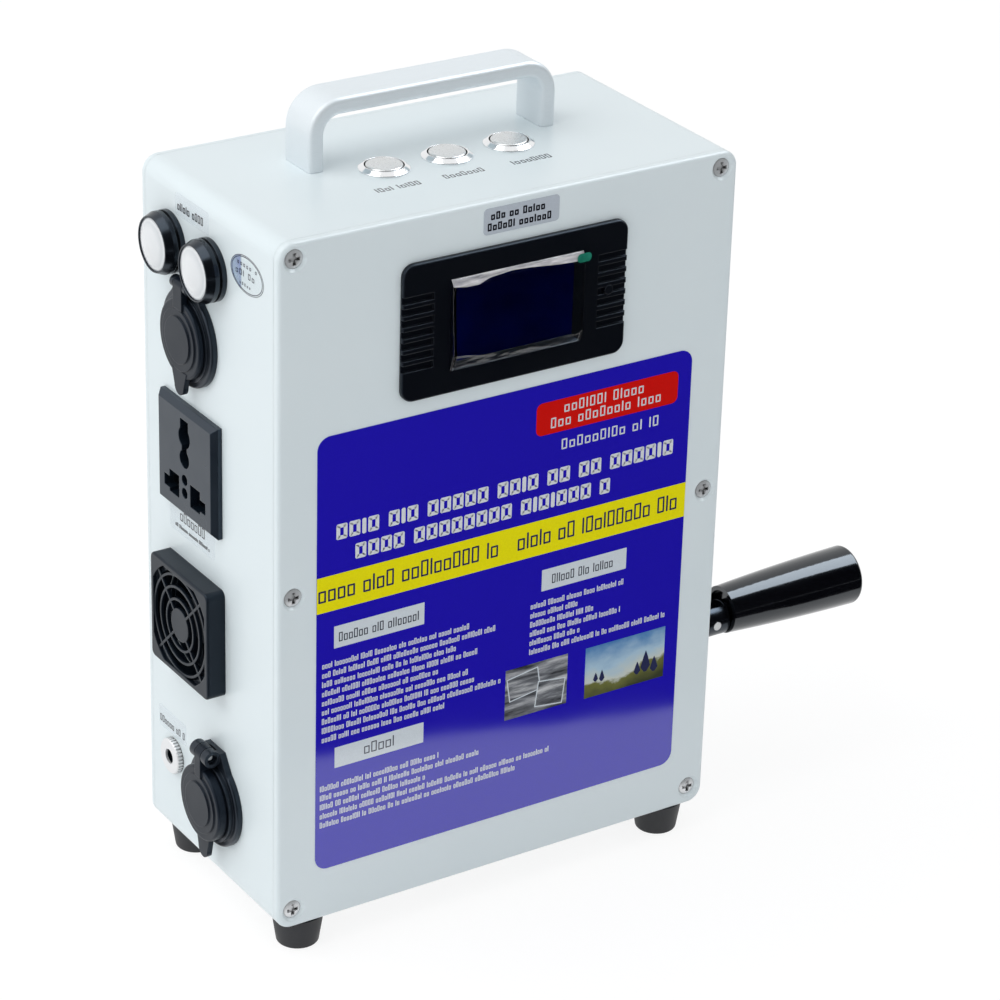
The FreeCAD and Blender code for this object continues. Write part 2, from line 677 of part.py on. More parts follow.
def make_foot(x, y):
    """Tapered rubber foot with a recess for its screw."""
    foot = cone(FOOT_SOLE_RADIUS, FOOT_TOP_RADIUS, (x, y, -FOOT_HEIGHT), (x, y, 0))
    foot = round_rim(foot, 2, -FOOT_HEIGHT, FOOT_SOLE_ROUND)
    recess = rod(FOOT_RECESS_RADIUS, (x, y, -FOOT_HEIGHT), (x, y, FOOT_RECESS_DEPTH - FOOT_HEIGHT))
    hole = rod(FOOT_SCREW_RADIUS + RUNNING_GAP, (x, y, -FOOT_HEIGHT), (x, y, 0))
    return foot.cut([recess, hole])


def make_foot_screws():
    """Pan-head screws that hold the feet, with their nuts inside the case."""
    solids = []
    for x, y in foot_places():
        seat = FOOT_RECESS_DEPTH - FOOT_HEIGHT
        low = seat - FOOT_SCREW_HEAD_HEIGHT
        head = round_rim(
            rod(FOOT_SCREW_HEAD_RADIUS, (x, y, low), (x, y, seat)), 2, low, FOOT_SCREW_HEAD_HEIGHT / 3)
        head = head.cut(
            cross_recess(FOOT_SCREW_HEAD_RADIUS, FOOT_SCREW_HEAD_HEIGHT / 2, (x, y, low), (0, 0, -1)))
        shank = rod(FOOT_SCREW_RADIUS, (x, y, seat), (x, y, CASE_WALL + FOOT_SCREW_REACH))
        nut = hex_nut(
            FOOT_NUT_WIDTH, FOOT_NUT_THICKNESS, FOOT_SCREW_RADIUS, (x, y, CASE_WALL), (0, 0, 1))
        solids.append(fuse(head, shank, nut))
    return group(solids)


# ---------------------------------------------------------------- carrying handle
def handle_legs():
    """Distances of the handle's two legs along X."""
    return [HANDLE_X - HANDLE_SPACING / 2, HANDLE_X + HANDLE_SPACING / 2]


def make_carry_handle():
    """Flat bar bent into a bracket that stands on the top of the case."""
    half = HANDLE_SPACING / 2 + HANDLE_BAR_THICKNESS / 2
    y_low = HANDLE_Y - HANDLE_BAR_WIDTH / 2
    y_high = HANDLE_Y + HANDLE_BAR_WIDTH / 2
    top = CASE_HEIGHT + HANDLE_RISE
    outer = box((HANDLE_X - half, y_low, CASE_HEIGHT), (HANDLE_X + half, y_high, top))
    upper = [e for e in outer.Edges if e.BoundBox.ZMin > top - 1 and e.BoundBox.XLength < 1]
    outer = outer.makeFillet(HANDLE_BEND_RADIUS, upper)
    inset = HANDLE_BAR_THICKNESS
    inner = box(
        (HANDLE_X - half + inset, y_low, CASE_HEIGHT), (HANDLE_X + half - inset, y_high, top - inset))
    lower = [e for e in inner.Edges if e.BoundBox.ZMin > top - inset - 1 and e.BoundBox.XLength < 1]
    inner = inner.makeFillet(HANDLE_BEND_RADIUS - inset, lower)
    bar = outer.cut(inner)
    rims = edges_at(bar, 1, y_low) + edges_at(bar, 1, y_high)
    long_rims = [e for e in rims if e.BoundBox.ZMax > CASE_HEIGHT + 1]
    bar = bar.makeFillet(HANDLE_EDGE_ROUND, long_rims)
    bores = [
        rod(HANDLE_SCREW_RADIUS, (x, HANDLE_Y, CASE_HEIGHT), (x, HANDLE_Y, CASE_HEIGHT + HANDLE_SCREW_DEPTH))
        for x in handle_legs()
    ]
    return bar.cut(bores)


def make_handle_screws():
    """Two screws that come up from inside the case into the handle's legs."""
    screws = []
    for x in handle_legs():
        head = rod(
            HANDLE_SCREW_HEAD_RADIUS,
            (x, HANDLE_Y, CEILING - HANDLE_SCREW_HEAD_HEIGHT), (x, HANDLE_Y, CEILING))
        tip = CASE_HEIGHT + HANDLE_SCREW_REACH
        shank = rod(HANDLE_SCREW_RADIUS, (x, HANDLE_Y, CEILING), (x, HANDLE_Y, tip))
        screws.append(fuse(head, shank))
    return group(screws)


# ---------------------------------------------------------------- labels
def make_label(width, height, x, z, corner):
    """Thin sticker on the front cover."""
    return rounded_block(
        (x - width / 2, FRONT - LABEL_THICKNESS, z - height / 2),
        (x + width / 2, FRONT, z + height / 2), corner, 1)


# ---------------------------------------------------------------- panel meter
def meter_groove_places():
    """Heights of the horizontal vent grooves."""
    lowest = METER_Z - (METER_GROOVE_COUNT - 1) / 2 * METER_GROOVE_PITCH
    return [lowest + k * METER_GROOVE_PITCH for k in range(METER_GROOVE_COUNT)]


def make_meter_bezel():
    """Bezel with its vent grooves, window, and the open-backed body behind the cover."""
    half_w, half_h = METER_WIDTH / 2, METER_HEIGHT / 2
    face = FRONT - METER_RIM
    plate = rounded_block(
        (METER_X - half_w, face, METER_Z - half_h),
        (METER_X + half_w, FRONT, METER_Z + half_h), METER_CORNER_RADIUS, 1)
    plate = round_rim(plate, 1, face, METER_EDGE_ROUND)
    body_w, body_h = half_w - METER_BODY_MARGIN, half_h - METER_BODY_MARGIN
    back = FRONT + METER_BODY_DEPTH
    body = box((METER_X - body_w, FRONT, METER_Z - body_h), (METER_X + body_w, back, METER_Z + body_h))
    bezel = fuse(plate, body)
    wall = METER_BODY_WALL
    room = box(
        (METER_X - body_w + wall, FRONT + wall, METER_Z - body_h + wall),
        (METER_X + body_w - wall, back, METER_Z + body_h - wall))
    win_w, win_h = METER_WINDOW_WIDTH / 2, METER_WINDOW_HEIGHT / 2
    window = box((METER_X - win_w, face, METER_Z - win_h), (METER_X + win_w, FRONT + wall, METER_Z + win_h))
    slope = METER_WINDOW_SLOPE
    mouth = [
        Vector(METER_X + sx * (win_w + slope), face, METER_Z + sz * (win_h + slope))
        for sx, sz in ((-1, -1), (1, -1), (1, 1), (-1, 1), (-1, -1))]
    throat = [
        Vector(METER_X + sx * win_w, face + METER_WINDOW_SLOPE_DEPTH, METER_Z + sz * win_h)
        for sx, sz in ((-1, -1), (1, -1), (1, 1), (-1, 1), (-1, -1))]
    sloped = Part.makeLoft([Part.makePolygon(mouth), Part.makePolygon(throat)], True, True)
    key_x = METER_X + METER_KEY_X
    key_hole = rod(METER_KEY_RADIUS + PANEL_GAP, (key_x, face, METER_Z), (key_x, FRONT + wall, METER_Z))
    cutters = [room, window, sloped, key_hole]
    half_groove = METER_GROOVE_WIDTH / 2
    for z in meter_groove_places():
        for side in (-1, 1):
            edge = METER_X + side * half_w
            inner_end = edge - side * METER_GROOVE_LENGTH
            cutters.append(box(
                (min(edge, inner_end), face, z - half_groove),
                (max(edge, inner_end), face + METER_GROOVE_DEPTH, z + half_groove)))
    return bezel.cut(cutters)


def make_meter_display():
    """Display module that fills the bezel's window from behind."""
    front = FRONT - METER_RIM + METER_GLASS_SETBACK
    win_w = METER_WINDOW_WIDTH / 2 - RUNNING_GAP
    win_h = METER_WINDOW_HEIGHT / 2 - RUNNING_GAP
    inner = FRONT + METER_BODY_WALL
    glass = box((METER_X - win_w, front, METER_Z - win_h), (METER_X + win_w, inner, METER_Z + win_h))
    margin = METER_BODY_MARGIN
    frame = box(
        (METER_X - win_w - margin, inner, METER_Z - win_h - margin),
        (METER_X + win_w + margin, inner + METER_GLASS_THICKNESS, METER_Z + win_h + margin))
    return fuse(glass, frame)


def make_meter_key():
    """Small push key of the meter, with a collar that holds it behind the bezel."""
    x = METER_X + METER_KEY_X
    face = FRONT - METER_RIM - METER_KEY_PROUD
    pin = rod(METER_KEY_RADIUS, (x, face, METER_Z), (x, face + METER_KEY_LENGTH, METER_Z))
    collar_start = FRONT + METER_BODY_WALL
    collar = rod(
        METER_KEY_COLLAR_RADIUS, (x, collar_start, METER_Z), (x, face + METER_KEY_LENGTH, METER_Z))
    return fuse(pin, collar)


# ---------------------------------------------------------------- push switches
def switch_places():
    """Distances of the three switches along X."""
    return [SWITCH_X + k * SWITCH_PITCH for k in (-1, 0, 1)]


def make_switch_body(x):
    """Metal switch body: bevelled ring on the top, threaded barrel below."""
    top = CASE_HEIGHT + SWITCH_RING_HEIGHT
    bottom = CASE_HEIGHT - SWITCH_BARREL_LENGTH
    lip = CASE_HEIGHT + SWITCH_RING_LIP
    rim = SWITCH_RING_RADIUS - SWITCH_RING_BEVEL
    ring = fuse(
        rod(SWITCH_RING_RADIUS, (x, SWITCH_Y, CASE_HEIGHT), (x, SWITCH_Y, lip)),
        cone(SWITCH_RING_RADIUS, rim, (x, SWITCH_Y, lip), (x, SWITCH_Y, top)))
    barrel = rod(SWITCH_BARREL_RADIUS, (x, SWITCH_Y, bottom), (x, SWITCH_Y, CASE_HEIGHT))
    well_floor = top - SWITCH_WELL_DEPTH
    well = rod(SWITCH_WELL_RADIUS, (x, SWITCH_Y, well_floor), (x, SWITCH_Y, top))
    stem_floor = well_floor - SWITCH_STEM_LENGTH - SWITCH_TRAVEL
    bore = rod(SWITCH_STEM_RADIUS + RUNNING_GAP, (x, SWITCH_Y, stem_floor), (x, SWITCH_Y, well_floor))
    terminals = []
    half_width, half_thickness = TERMINAL_WIDTH / 2, TERMINAL_THICKNESS / 2
    for middle in (x - SWITCH_BARREL_RADIUS / 2, x + SWITCH_BARREL_RADIUS / 2):
        terminals.append(box(
            (middle - half_width, SWITCH_Y - half_thickness, bottom - TERMINAL_LENGTH),
            (middle + half_width, SWITCH_Y + half_thickness, bottom)))
    return fuse(ring, barrel, *terminals).cut([well, bore])


def make_switch_button(x):
    """Button cap with the stem that slides in the switch body."""
    top = CASE_HEIGHT + SWITCH_RING_HEIGHT + SWITCH_BUTTON_PROUD
    under = top - SWITCH_BUTTON_THICKNESS
    cap = rod(SWITCH_BUTTON_RADIUS, (x, SWITCH_Y, under), (x, SWITCH_Y, top))
    cap = round_rim(cap, 2, top, SWITCH_BUTTON_ROUND)
    stem_end = CASE_HEIGHT + SWITCH_RING_HEIGHT - SWITCH_WELL_DEPTH - SWITCH_STEM_LENGTH
    stem = rod(SWITCH_STEM_RADIUS, (x, SWITCH_Y, stem_end), (x, SWITCH_Y, under))
    return fuse(cap, stem)


# ---------------------------------------------------------------- lamps
def make_lamp_bezel(y):
    """Flanged lamp body with a grooved neck and a thick front ring."""
    stations = [
        (-CASE_WALL - LAMP_BARREL_LENGTH, LAMP_BORE_RADIUS),
        (-CASE_WALL - LAMP_BARREL_LENGTH, LAMP_BARREL_RADIUS),
        (0, LAMP_BARREL_RADIUS),
        (0, LAMP_FLANGE_RADIUS),
        (LAMP_FLANGE_THICKNESS, LAMP_FLANGE_RADIUS),
        (LAMP_FLANGE_THICKNESS, LAMP_NECK_RADIUS),
        (LAMP_RING_START, LAMP_NECK_RADIUS),
        (LAMP_RING_START, LAMP_RING_RADIUS),
        (LAMP_RING_END - LAMP_RING_TAPER_LENGTH, LAMP_RING_RADIUS),
        (LAMP_RING_END, LAMP_RING_RADIUS - LAMP_RING_TAPER),
        (LAMP_RING_END, LAMP_LENS_RADIUS + RUNNING_GAP),
        (LAMP_RING_END - LAMP_LENS_THICKNESS, LAMP_LENS_RADIUS + RUNNING_GAP),
        (LAMP_RING_END - LAMP_LENS_THICKNESS, LAMP_BORE_RADIUS),
    ]
    return lathe(stations, (LEFT, y, LAMP_Z), (-1, 0, 0))


def make_lamp_lens(y):
    """Frosted lens, slightly domed in front."""
    seat = LAMP_RING_END - LAMP_LENS_THICKNESS
    rim = LAMP_RING_END - LAMP_LENS_SETBACK
    disc = rod(LAMP_LENS_RADIUS, (LEFT - seat, y, LAMP_Z), (LEFT - rim, y, LAMP_Z))
    ball_radius = (LAMP_LENS_RADIUS ** 2 + LAMP_LENS_DOME ** 2) / (2 * LAMP_LENS_DOME)
    ball = Part.makeSphere(ball_radius, Vector(LEFT - rim - LAMP_LENS_DOME + ball_radius, y, LAMP_Z))
    dome_limit = rod(LAMP_LENS_RADIUS, (LEFT - rim, y, LAMP_Z), (LEFT - rim - 2 * LAMP_LENS_DOME, y, LAMP_Z))
    return fuse(disc, ball.common(dome_limit))


def make_lamp_boards():
    """Light-emitting diodes on their round boards inside the lamp bodies."""
    solids = []
    for y in (LAMP_FRONT_Y, LAMP_REAR_Y):
        back = LEFT + CASE_WALL
        front = back - LAMP_BOARD_THICKNESS
        board = rod(LAMP_BORE_RADIUS - RUNNING_GAP, (back, y, LAMP_Z), (front, y, LAMP_Z))
        led = rod(LAMP_LED_RADIUS, (front, y, LAMP_Z), (front - LAMP_LED_HEIGHT, y, LAMP_Z))
        solids.append(fuse(board, led))
    return group(solids)


def make_panel_nuts():
    """Nuts inside the case that hold the switches, the lamps and the round sockets."""
    nuts = []
    for x in switch_places():
        nuts.append(hex_nut(
            SWITCH_NUT_WIDTH, SWITCH_NUT_THICKNESS, SWITCH_BARREL_RADIUS, (x, SWITCH_Y, CEILING), (0, 0, -1)))
    inside = LEFT + CASE_WALL
    for y in (LAMP_FRONT_Y, LAMP_REAR_Y):
        nuts.append(hex_nut(
            LAMP_NUT_WIDTH, LAMP_NUT_THICKNESS, LAMP_BARREL_RADIUS, (inside, y, LAMP_Z), (1, 0, 0)))
    for y, z in ((USB_Y, USB_Z), (DC_Y, DC_Z)):
        ring = rod(SOCKET_NUT_RADIUS, (inside, y, z), (inside + SOCKET_NUT_THICKNESS, y, z))
        bore = rod(SOCKET_BARREL_RADIUS, (inside, y, z), (inside + SOCKET_NUT_THICKNESS, y, z))
        nuts.append(ring.cut(bore))
    return group(nuts)


# ---------------------------------------------------------------- capped round sockets
class RoundSocket:
    """Places and sizes of one capped round socket, all worked out from the named values."""

    def __init__(self, place, collar, cap, standoff, half_width, tongue, knuckle, eye, tab_reach):
        self.y, self.z = place
        self.mouth_x = FLANGE_FACE_X - collar
        self.cap_back_x = self.mouth_x - LOOSE_GAP
        self.cap_face_x = self.cap_back_x - cap
        self.hinge_x = LEFT - standoff
        self.hinge_z = self.z + HINGE_RISE
        self.hinge_half_width = half_width
        self.tongue_half_width = tongue
        self.knuckle = knuckle
        self.eye_radius, self.eye_depth = eye
        self.tab_reach = tab_reach


FLANGE_FACE_X = LEFT - SOCKET_FLANGE_THICKNESS
BARREL_FLOOR_X = LEFT + SOCKET_BARREL_LENGTH - SOCKET_BACK_WALL
USB = RoundSocket(
    (USB_Y, USB_Z), USB_COLLAR_THICKNESS, USB_CAP_THICKNESS, USB_HINGE_STANDOFF, USB_HINGE_HALF_WIDTH,
    USB_TONGUE_HALF_WIDTH, USB_KNUCKLE_RADIUS, (USB_EYE_RADIUS, USB_EYE_DEPTH), USB_TAB_REACH)
DC = RoundSocket(
    (DC_Y, DC_Z), DC_COLLAR_THICKNESS, DC_CAP_THICKNESS, DC_HINGE_STANDOFF, DC_HINGE_HALF_WIDTH,
    DC_TONGUE_HALF_WIDTH, DC_KNUCKLE_RADIUS, (DC_EYE_RADIUS, DC_EYE_DEPTH), DC_TAB_REACH)


def hinge_lobe(socket):
    """Lobe at the top of a socket flange with two knuckles for the cap's hinge."""
    y, x, z = socket.y, socket.hinge_x, socket.hinge_z
    half, radius = socket.hinge_half_width, socket.knuckle
    foot_z = socket.z + SOCKET_LOBE_FOOT_RISE
    top_z = z + radius / 2
    foot = SOCKET_LOBE_FOOT
    root = wall_plate(
        [(y - foot, foot_z), (y + foot, foot_z), (y + half, top_z), (y - half, top_z)],
        FLANGE_FACE_X, LEFT)
    inner = socket.tongue_half_width + LOOSE_GAP
    parts = [root]
    for low, high in ((y - half, y - inner), (y + inner, y + half)):
        knuckle = rod(radius, (x, low, z), (x, high, z))
        web = box((x, low, z - radius / 2), (FLANGE_FACE_X, high, z + radius / 4))
        parts += [knuckle, web]
    return parts


def make_socket(socket):
    """Round panel socket: flange with a hinge lobe, collar, and barrel with a blind bore."""
    y, z = socket.y, socket.z
    flange = rod(SOCKET_FLANGE_RADIUS, (LEFT, y, z), (FLANGE_FACE_X, y, z))
    flange = round_rim(flange, 0, FLANGE_FACE_X, SOCKET_FLANGE_ROUND)
    collar = rod(SOCKET_COLLAR_RADIUS, (FLANGE_FACE_X, y, z), (socket.mouth_x, y, z))
    barrel = rod(SOCKET_BARREL_RADIUS, (LEFT, y, z), (LEFT + SOCKET_BARREL_LENGTH, y, z))
    solid = fuse(flange, collar, barrel, *hinge_lobe(socket))
    bore = rod(SOCKET_BORE_RADIUS, (socket.mouth_x, y, z), (BARREL_FLOOR_X, y, z))
    mouth = rod(SOCKET_RELIEF_RADIUS, (socket.mouth_x, y, z), (socket.mouth_x + SOCKET_MOUTH_RELIEF, y, z))
    cutters = [bore, mouth]
    if socket is DC:
        # room round the contact
        relief_x = BARREL_FLOOR_X - SOCKET_FLOOR_RELIEF
        cutters.append(rod(SOCKET_RELIEF_RADIUS, (relief_x, y, z), (BARREL_FLOOR_X, y, z)))
    half = socket.hinge_half_width
    x_hinge, z_hinge = socket.hinge_x, socket.hinge_z
    cutters.append(rod(HINGE_PIN_RADIUS, (x_hinge, y - half, z_hinge), (x_hinge, y + half, z_hinge)))
    for side in (-1, 1):
        end = y + side * half
        eye_floor = end - side * socket.eye_depth
        cutters.append(rod(socket.eye_radius, (x_hinge, eye_floor, z_hinge), (x_hinge, end, z_hinge)))
    room = socket.knuckle + LOOSE_GAP
    half_room = socket.tongue_half_width + LOOSE_GAP
    cutters.append(box(
        (min(socket.mouth_x, x_hinge), y - half_room, z_hinge - room),
        (x_hinge + room, y + half_room, z_hinge + room)))
    return solid.cut(cutters)


def cap_tab(socket):
    """Finger tab below a cap, narrower towards its rounded tip."""
    y, z, back = socket.y, socket.z, socket.cap_back_x
    front = back - CAP_TAB_THICKNESS
    half_root, half_tip = CAP_TAB_ROOT_WIDTH / 2, CAP_TAB_TIP_WIDTH / 2
    tip_z = z - socket.tab_reach + half_tip
    root_z = z - CAP_STEP_RADIUS
    blade = wall_plate(
        [(y - half_root, root_z), (y + half_root, root_z), (y + half_tip, tip_z), (y - half_tip, tip_z)],
        front, back)
    return fuse(blade, rod(half_tip, (front, y, tip_z), (back, y, tip_z)))


def make_cap(socket):
    """Hinged cover of a round socket, with a stepped face, a plug ring and a finger tab."""
    y, z, back, face = socket.y, socket.z, socket.cap_back_x, socket.cap_face_x
    disc = rod(CAP_RADIUS, (back, y, z), (face, y, z))
    disc = round_rim(disc, 0, face, CAP_EDGE_ROUND)
    step_face = face - CAP_STEP_HEIGHT
    step = rod(CAP_STEP_RADIUS, (face, y, z), (step_face, y, z))
    medal = rod(CAP_DISC_RADIUS, (step_face, y, z), (step_face - CAP_DISC_HEIGHT, y, z))
    plug_end = back + CAP_PLUG_DEPTH
    plug = rod(CAP_PLUG_RADIUS, (back, y, z), (plug_end, y, z)).cut(
        rod(CAP_PLUG_RADIUS - CAP_PLUG_WALL, (back, y, z), (plug_end, y, z)))
    half = socket.tongue_half_width
    x_hinge, z_hinge = socket.hinge_x, socket.hinge_z
    knuckle = rod(socket.knuckle, (x_hinge, y - half, z_hinge), (x_hinge, y + half, z_hinge))
    arm = box((x_hinge - socket.knuckle, y - half, z + CAP_STEP_RADIUS), (back, y + half, z_hinge))
    solid = fuse(disc, step, medal, plug, cap_tab(socket), knuckle, arm)
    pin_hole = rod(
        HINGE_PIN_RADIUS + RUNNING_GAP, (x_hinge, y - half, z_hinge), (x_hinge, y + half, z_hinge))
    return solid.cut(pin_hole)


def make_hinge_pins():
    """Pins of the two cap hinges."""
    pins = []
    for socket in (USB, DC):
        half = socket.hinge_half_width - socket.eye_depth
        x, y, z = socket.hinge_x, socket.y, socket.hinge_z
        pins.append(rod(HINGE_PIN_RADIUS, (x, y - half, z), (x, y + half, z)))
    return group(pins)


def make_dc_socket_contact():
    """Sprung centre contact at the bottom of the vehicle-type socket."""
    floor = BARREL_FLOOR_X
    base = rod(CONTACT_BASE_RADIUS, (floor, DC_Y, DC_Z), (floor - CONTACT_BASE_HEIGHT, DC_Y, DC_Z))
    post = rod(CONTACT_RADIUS, (floor, DC_Y, DC_Z), (floor - CONTACT_HEIGHT, DC_Y, DC_Z))
    return fuse(base, post)


def make_usb_ports():
    """Port block with two charging ports in the upper round socket."""
    face = USB.mouth_x + USB_FACE_DEPTH
    block = rod(SOCKET_BORE_RADIUS - RUNNING_GAP, (face, USB_Y, USB_Z), (BARREL_FLOOR_X, USB_Y, USB_Z))
    tongues = []
    ports = []
    for side in (-1, 1):
        z = USB_Z + side * USB_PORT_SPACING / 2
        ports.append(box(
            (face, USB_Y - USB_PORT_WIDTH / 2, z - USB_PORT_HEIGHT / 2),
            (face + USB_PORT_DEPTH, USB_Y + USB_PORT_WIDTH / 2, z + USB_PORT_HEIGHT / 2)))
        tongue_z = z + USB_PORT_HEIGHT / 4
        tongues.append(box(
            (face + USB_PORT_DEPTH - USB_BLADE_LENGTH, USB_Y - USB_BLADE_WIDTH / 2,
             tongue_z - USB_BLADE_THICKNESS / 2),
            (face + USB_PORT_DEPTH, USB_Y + USB_BLADE_WIDTH / 2, tongue_z + USB_BLADE_THICKNESS / 2)))
    return fuse(block.cut(ports), *tongues)


# ---------------------------------------------------------------- mains outlet
def ac_slot_cutters(x_low, x_high):
    """Pin slots of the universal mains outlet between two depths."""
    cutters = []
    for reach, drop, height in (
            (AC_LINE_TALL_OUTER, AC_LINE_TALL_DROP, AC_LINE_TALL_HEIGHT),
            (AC_LINE_LOW_OUTER, AC_LINE_LOW_DROP, AC_LINE_LOW_HEIGHT)):
        low = AC_Z - drop
        high = low + height
        cutters.append(box((x_low, AC_Y - reach, low), (x_high, AC_Y - AC_LINE_INNER, high)))
        cutters.append(box((x_low, AC_Y + AC_LINE_INNER, low), (x_high, AC_Y + reach, high)))
    half = AC_EARTH_WIDTH / 2
    half_neck = AC_EARTH_NECK_WIDTH / 2
    round_z = AC_Z + AC_EARTH_ROUND_RISE
    foot_z = AC_Z + AC_EARTH_FOOT_RISE
    cutters.append(box((x_low, AC_Y - half, round_z), (x_high, AC_Y + half, round_z + AC_EARTH_TIP)))
    for radius, z in ((AC_EARTH_ROUND_RADIUS, round_z), (AC_EARTH_FOOT_RADIUS, foot_z)):
        cutters.append(rod(radius, (x_low, AC_Y, z), (x_high, AC_Y, z)))
    cutters.append(box((x_low, AC_Y - half_neck, foot_z), (x_high, AC_Y + half_neck, round_z)))
    for drop in AC_HOLE_DROPS:
        z = AC_Z - drop
        cutters.append(rod(AC_HOLE_RADIUS, (x_low, AC_Y, z), (x_high, AC_Y, z)))
    return cutters


def make_ac_socket_plate():
    """Bevelled face plate of the mains outlet."""
    face = LEFT - AC_PLATE_THICKNESS
    plate = box(
        (face, AC_Y - AC_PLATE_WIDTH / 2, AC_Z - AC_PLATE_HEIGHT / 2),
        (LEFT, AC_Y + AC_PLATE_WIDTH / 2, AC_Z + AC_PLATE_HEIGHT / 2))
    plate = bevel_rim(plate, 0, face, AC_PLATE_BEVEL)
    return plate.cut(ac_slot_cutters(face, LEFT))


def make_ac_socket_body():
    """Block behind the plate that takes the pins of a mains plug."""
    end = LEFT + AC_BODY_DEPTH
    body = box(
        (LEFT, AC_Y - AC_BODY_WIDTH / 2, AC_Z - AC_BODY_HEIGHT / 2),
        (end, AC_Y + AC_BODY_WIDTH / 2, AC_Z + AC_BODY_HEIGHT / 2))
    return body.cut(ac_slot_cutters(LEFT, end - AC_BODY_BACK))


# ---------------------------------------------------------------- fan
def fan_screw_places():
    """Middles of the four fan screws, as (y, z)."""
    half = FAN_HOLE_SPACING / 2
    return [(FAN_Y + sy * half, FAN_Z + sz * half) for sy in (-1, 1) for sz in (-1, 1)]


def make_fan_guard():
    """Square finger guard with rings, diagonal spokes and a hub disc."""
    face = LEFT - GUARD_DEPTH
    half = GUARD_SIZE / 2
    shell = rounded_block(
        (face, FAN_Y - half, FAN_Z - half), (LEFT, FAN_Y + half, FAN_Z + half), GUARD_CORNER, 0)
    shell = round_rim(shell, 0, face, GUARD_WALL / 2)
    inner = half - GUARD_WALL
    room = box(
        (face + GUARD_FACE, FAN_Y - inner, FAN_Z - inner), (LEFT, FAN_Y + inner, FAN_Z + inner))
    room = room.common(rod(GUARD_ROOM_RADIUS, (face + GUARD_FACE, FAN_Y, FAN_Z), (LEFT, FAN_Y, FAN_Z)))
    screw_holes = [
        rod(FAN_SCREW_RADIUS, (LEFT - FAN_SCREW_REACH, y, z), (LEFT, y, z)) for y, z in fan_screw_places()]
    half_opening = GUARD_OPENING / 2
    opening = box(
        (face, FAN_Y - half_opening, FAN_Z - half_opening),
        (face + GUARD_FACE, FAN_Y + half_opening, FAN_Z + half_opening))
    opening = opening.common(
        rod(GUARD_OPENING_RADIUS, (face, FAN_Y, FAN_Z), (face + GUARD_FACE, FAN_Y, FAN_Z)))
    shell = shell.cut([room, opening] + screw_holes)
    grille_front = face + GUARD_FACE / 4
    grille_back = face + GUARD_FACE
    ends = ((grille_front, FAN_Y, FAN_Z), (grille_back, FAN_Y, FAN_Z))
    grille = [rod(GUARD_HUB_RADIUS, *ends)]
    for k in range(GUARD_RING_COUNT):
        radius = GUARD_RING_RADIUS + k * GUARD_RING_PITCH
        half_ring = GUARD_RING_WIDTH / 2
        grille.append(rod(radius + half_ring, *ends).cut(rod(radius - half_ring, *ends)))
    spoke_end = GUARD_OPENING_RADIUS + GUARD_WALL / 2
    for angle in (45, 135):
        spoke = box(
            (grille_front, FAN_Y - spoke_end, FAN_Z - GUARD_SPOKE_WIDTH / 2),
            (grille_back, FAN_Y + spoke_end, FAN_Z + GUARD_SPOKE_WIDTH / 2))
        spoke.rotate(Vector(0, FAN_Y, FAN_Z), X_AXIS, angle)
        grille.append(spoke)
    return fuse(shell, *grille)


def make_fan_frame():
    """Square fan frame with a round duct; struts on its outer side carry the motor's seat."""
    outer = LEFT + CASE_WALL
    inner = outer + FAN_DEPTH
    half = FAN_SIZE / 2
    frame = rounded_block(
        (outer, FAN_Y - half, FAN_Z - half), (inner, FAN_Y + half, FAN_Z + half), GUARD_CORNER, 0)
    duct = rod(FAN_DUCT_RADIUS, (outer, FAN_Y, FAN_Z), (inner, FAN_Y, FAN_Z))
    holes = [rod(FAN_SCREW_RADIUS + PANEL_GAP, (outer, y, z), (inner, y, z)) for y, z in fan_screw_places()]
    frame = frame.cut([duct] + holes)
    seat_end = outer + FAN_MOTOR_PLATE
    seat = rod(FAN_MOTOR_RADIUS, (outer, FAN_Y, FAN_Z), (seat_end, FAN_Y, FAN_Z))
    spindle_end = inner - FAN_HUB_WALL - LOOSE_GAP
    spindle = rod(FAN_SPINDLE_RADIUS, (outer, FAN_Y, FAN_Z), (spindle_end, FAN_Y, FAN_Z))
    strut_end = FAN_DUCT_RADIUS + FAN_STRUT_ROOT
    struts = []
    for angle in (0, 90):
        strut = box(
            (outer, FAN_Y - strut_end, FAN_Z - FAN_STRUT_WIDTH / 2),
            (seat_end, FAN_Y + strut_end, FAN_Z + FAN_STRUT_WIDTH / 2))
        strut.rotate(Vector(0, FAN_Y, FAN_Z), X_AXIS, angle)
        struts.append(strut)
    return fuse(frame, seat, spindle, *struts)


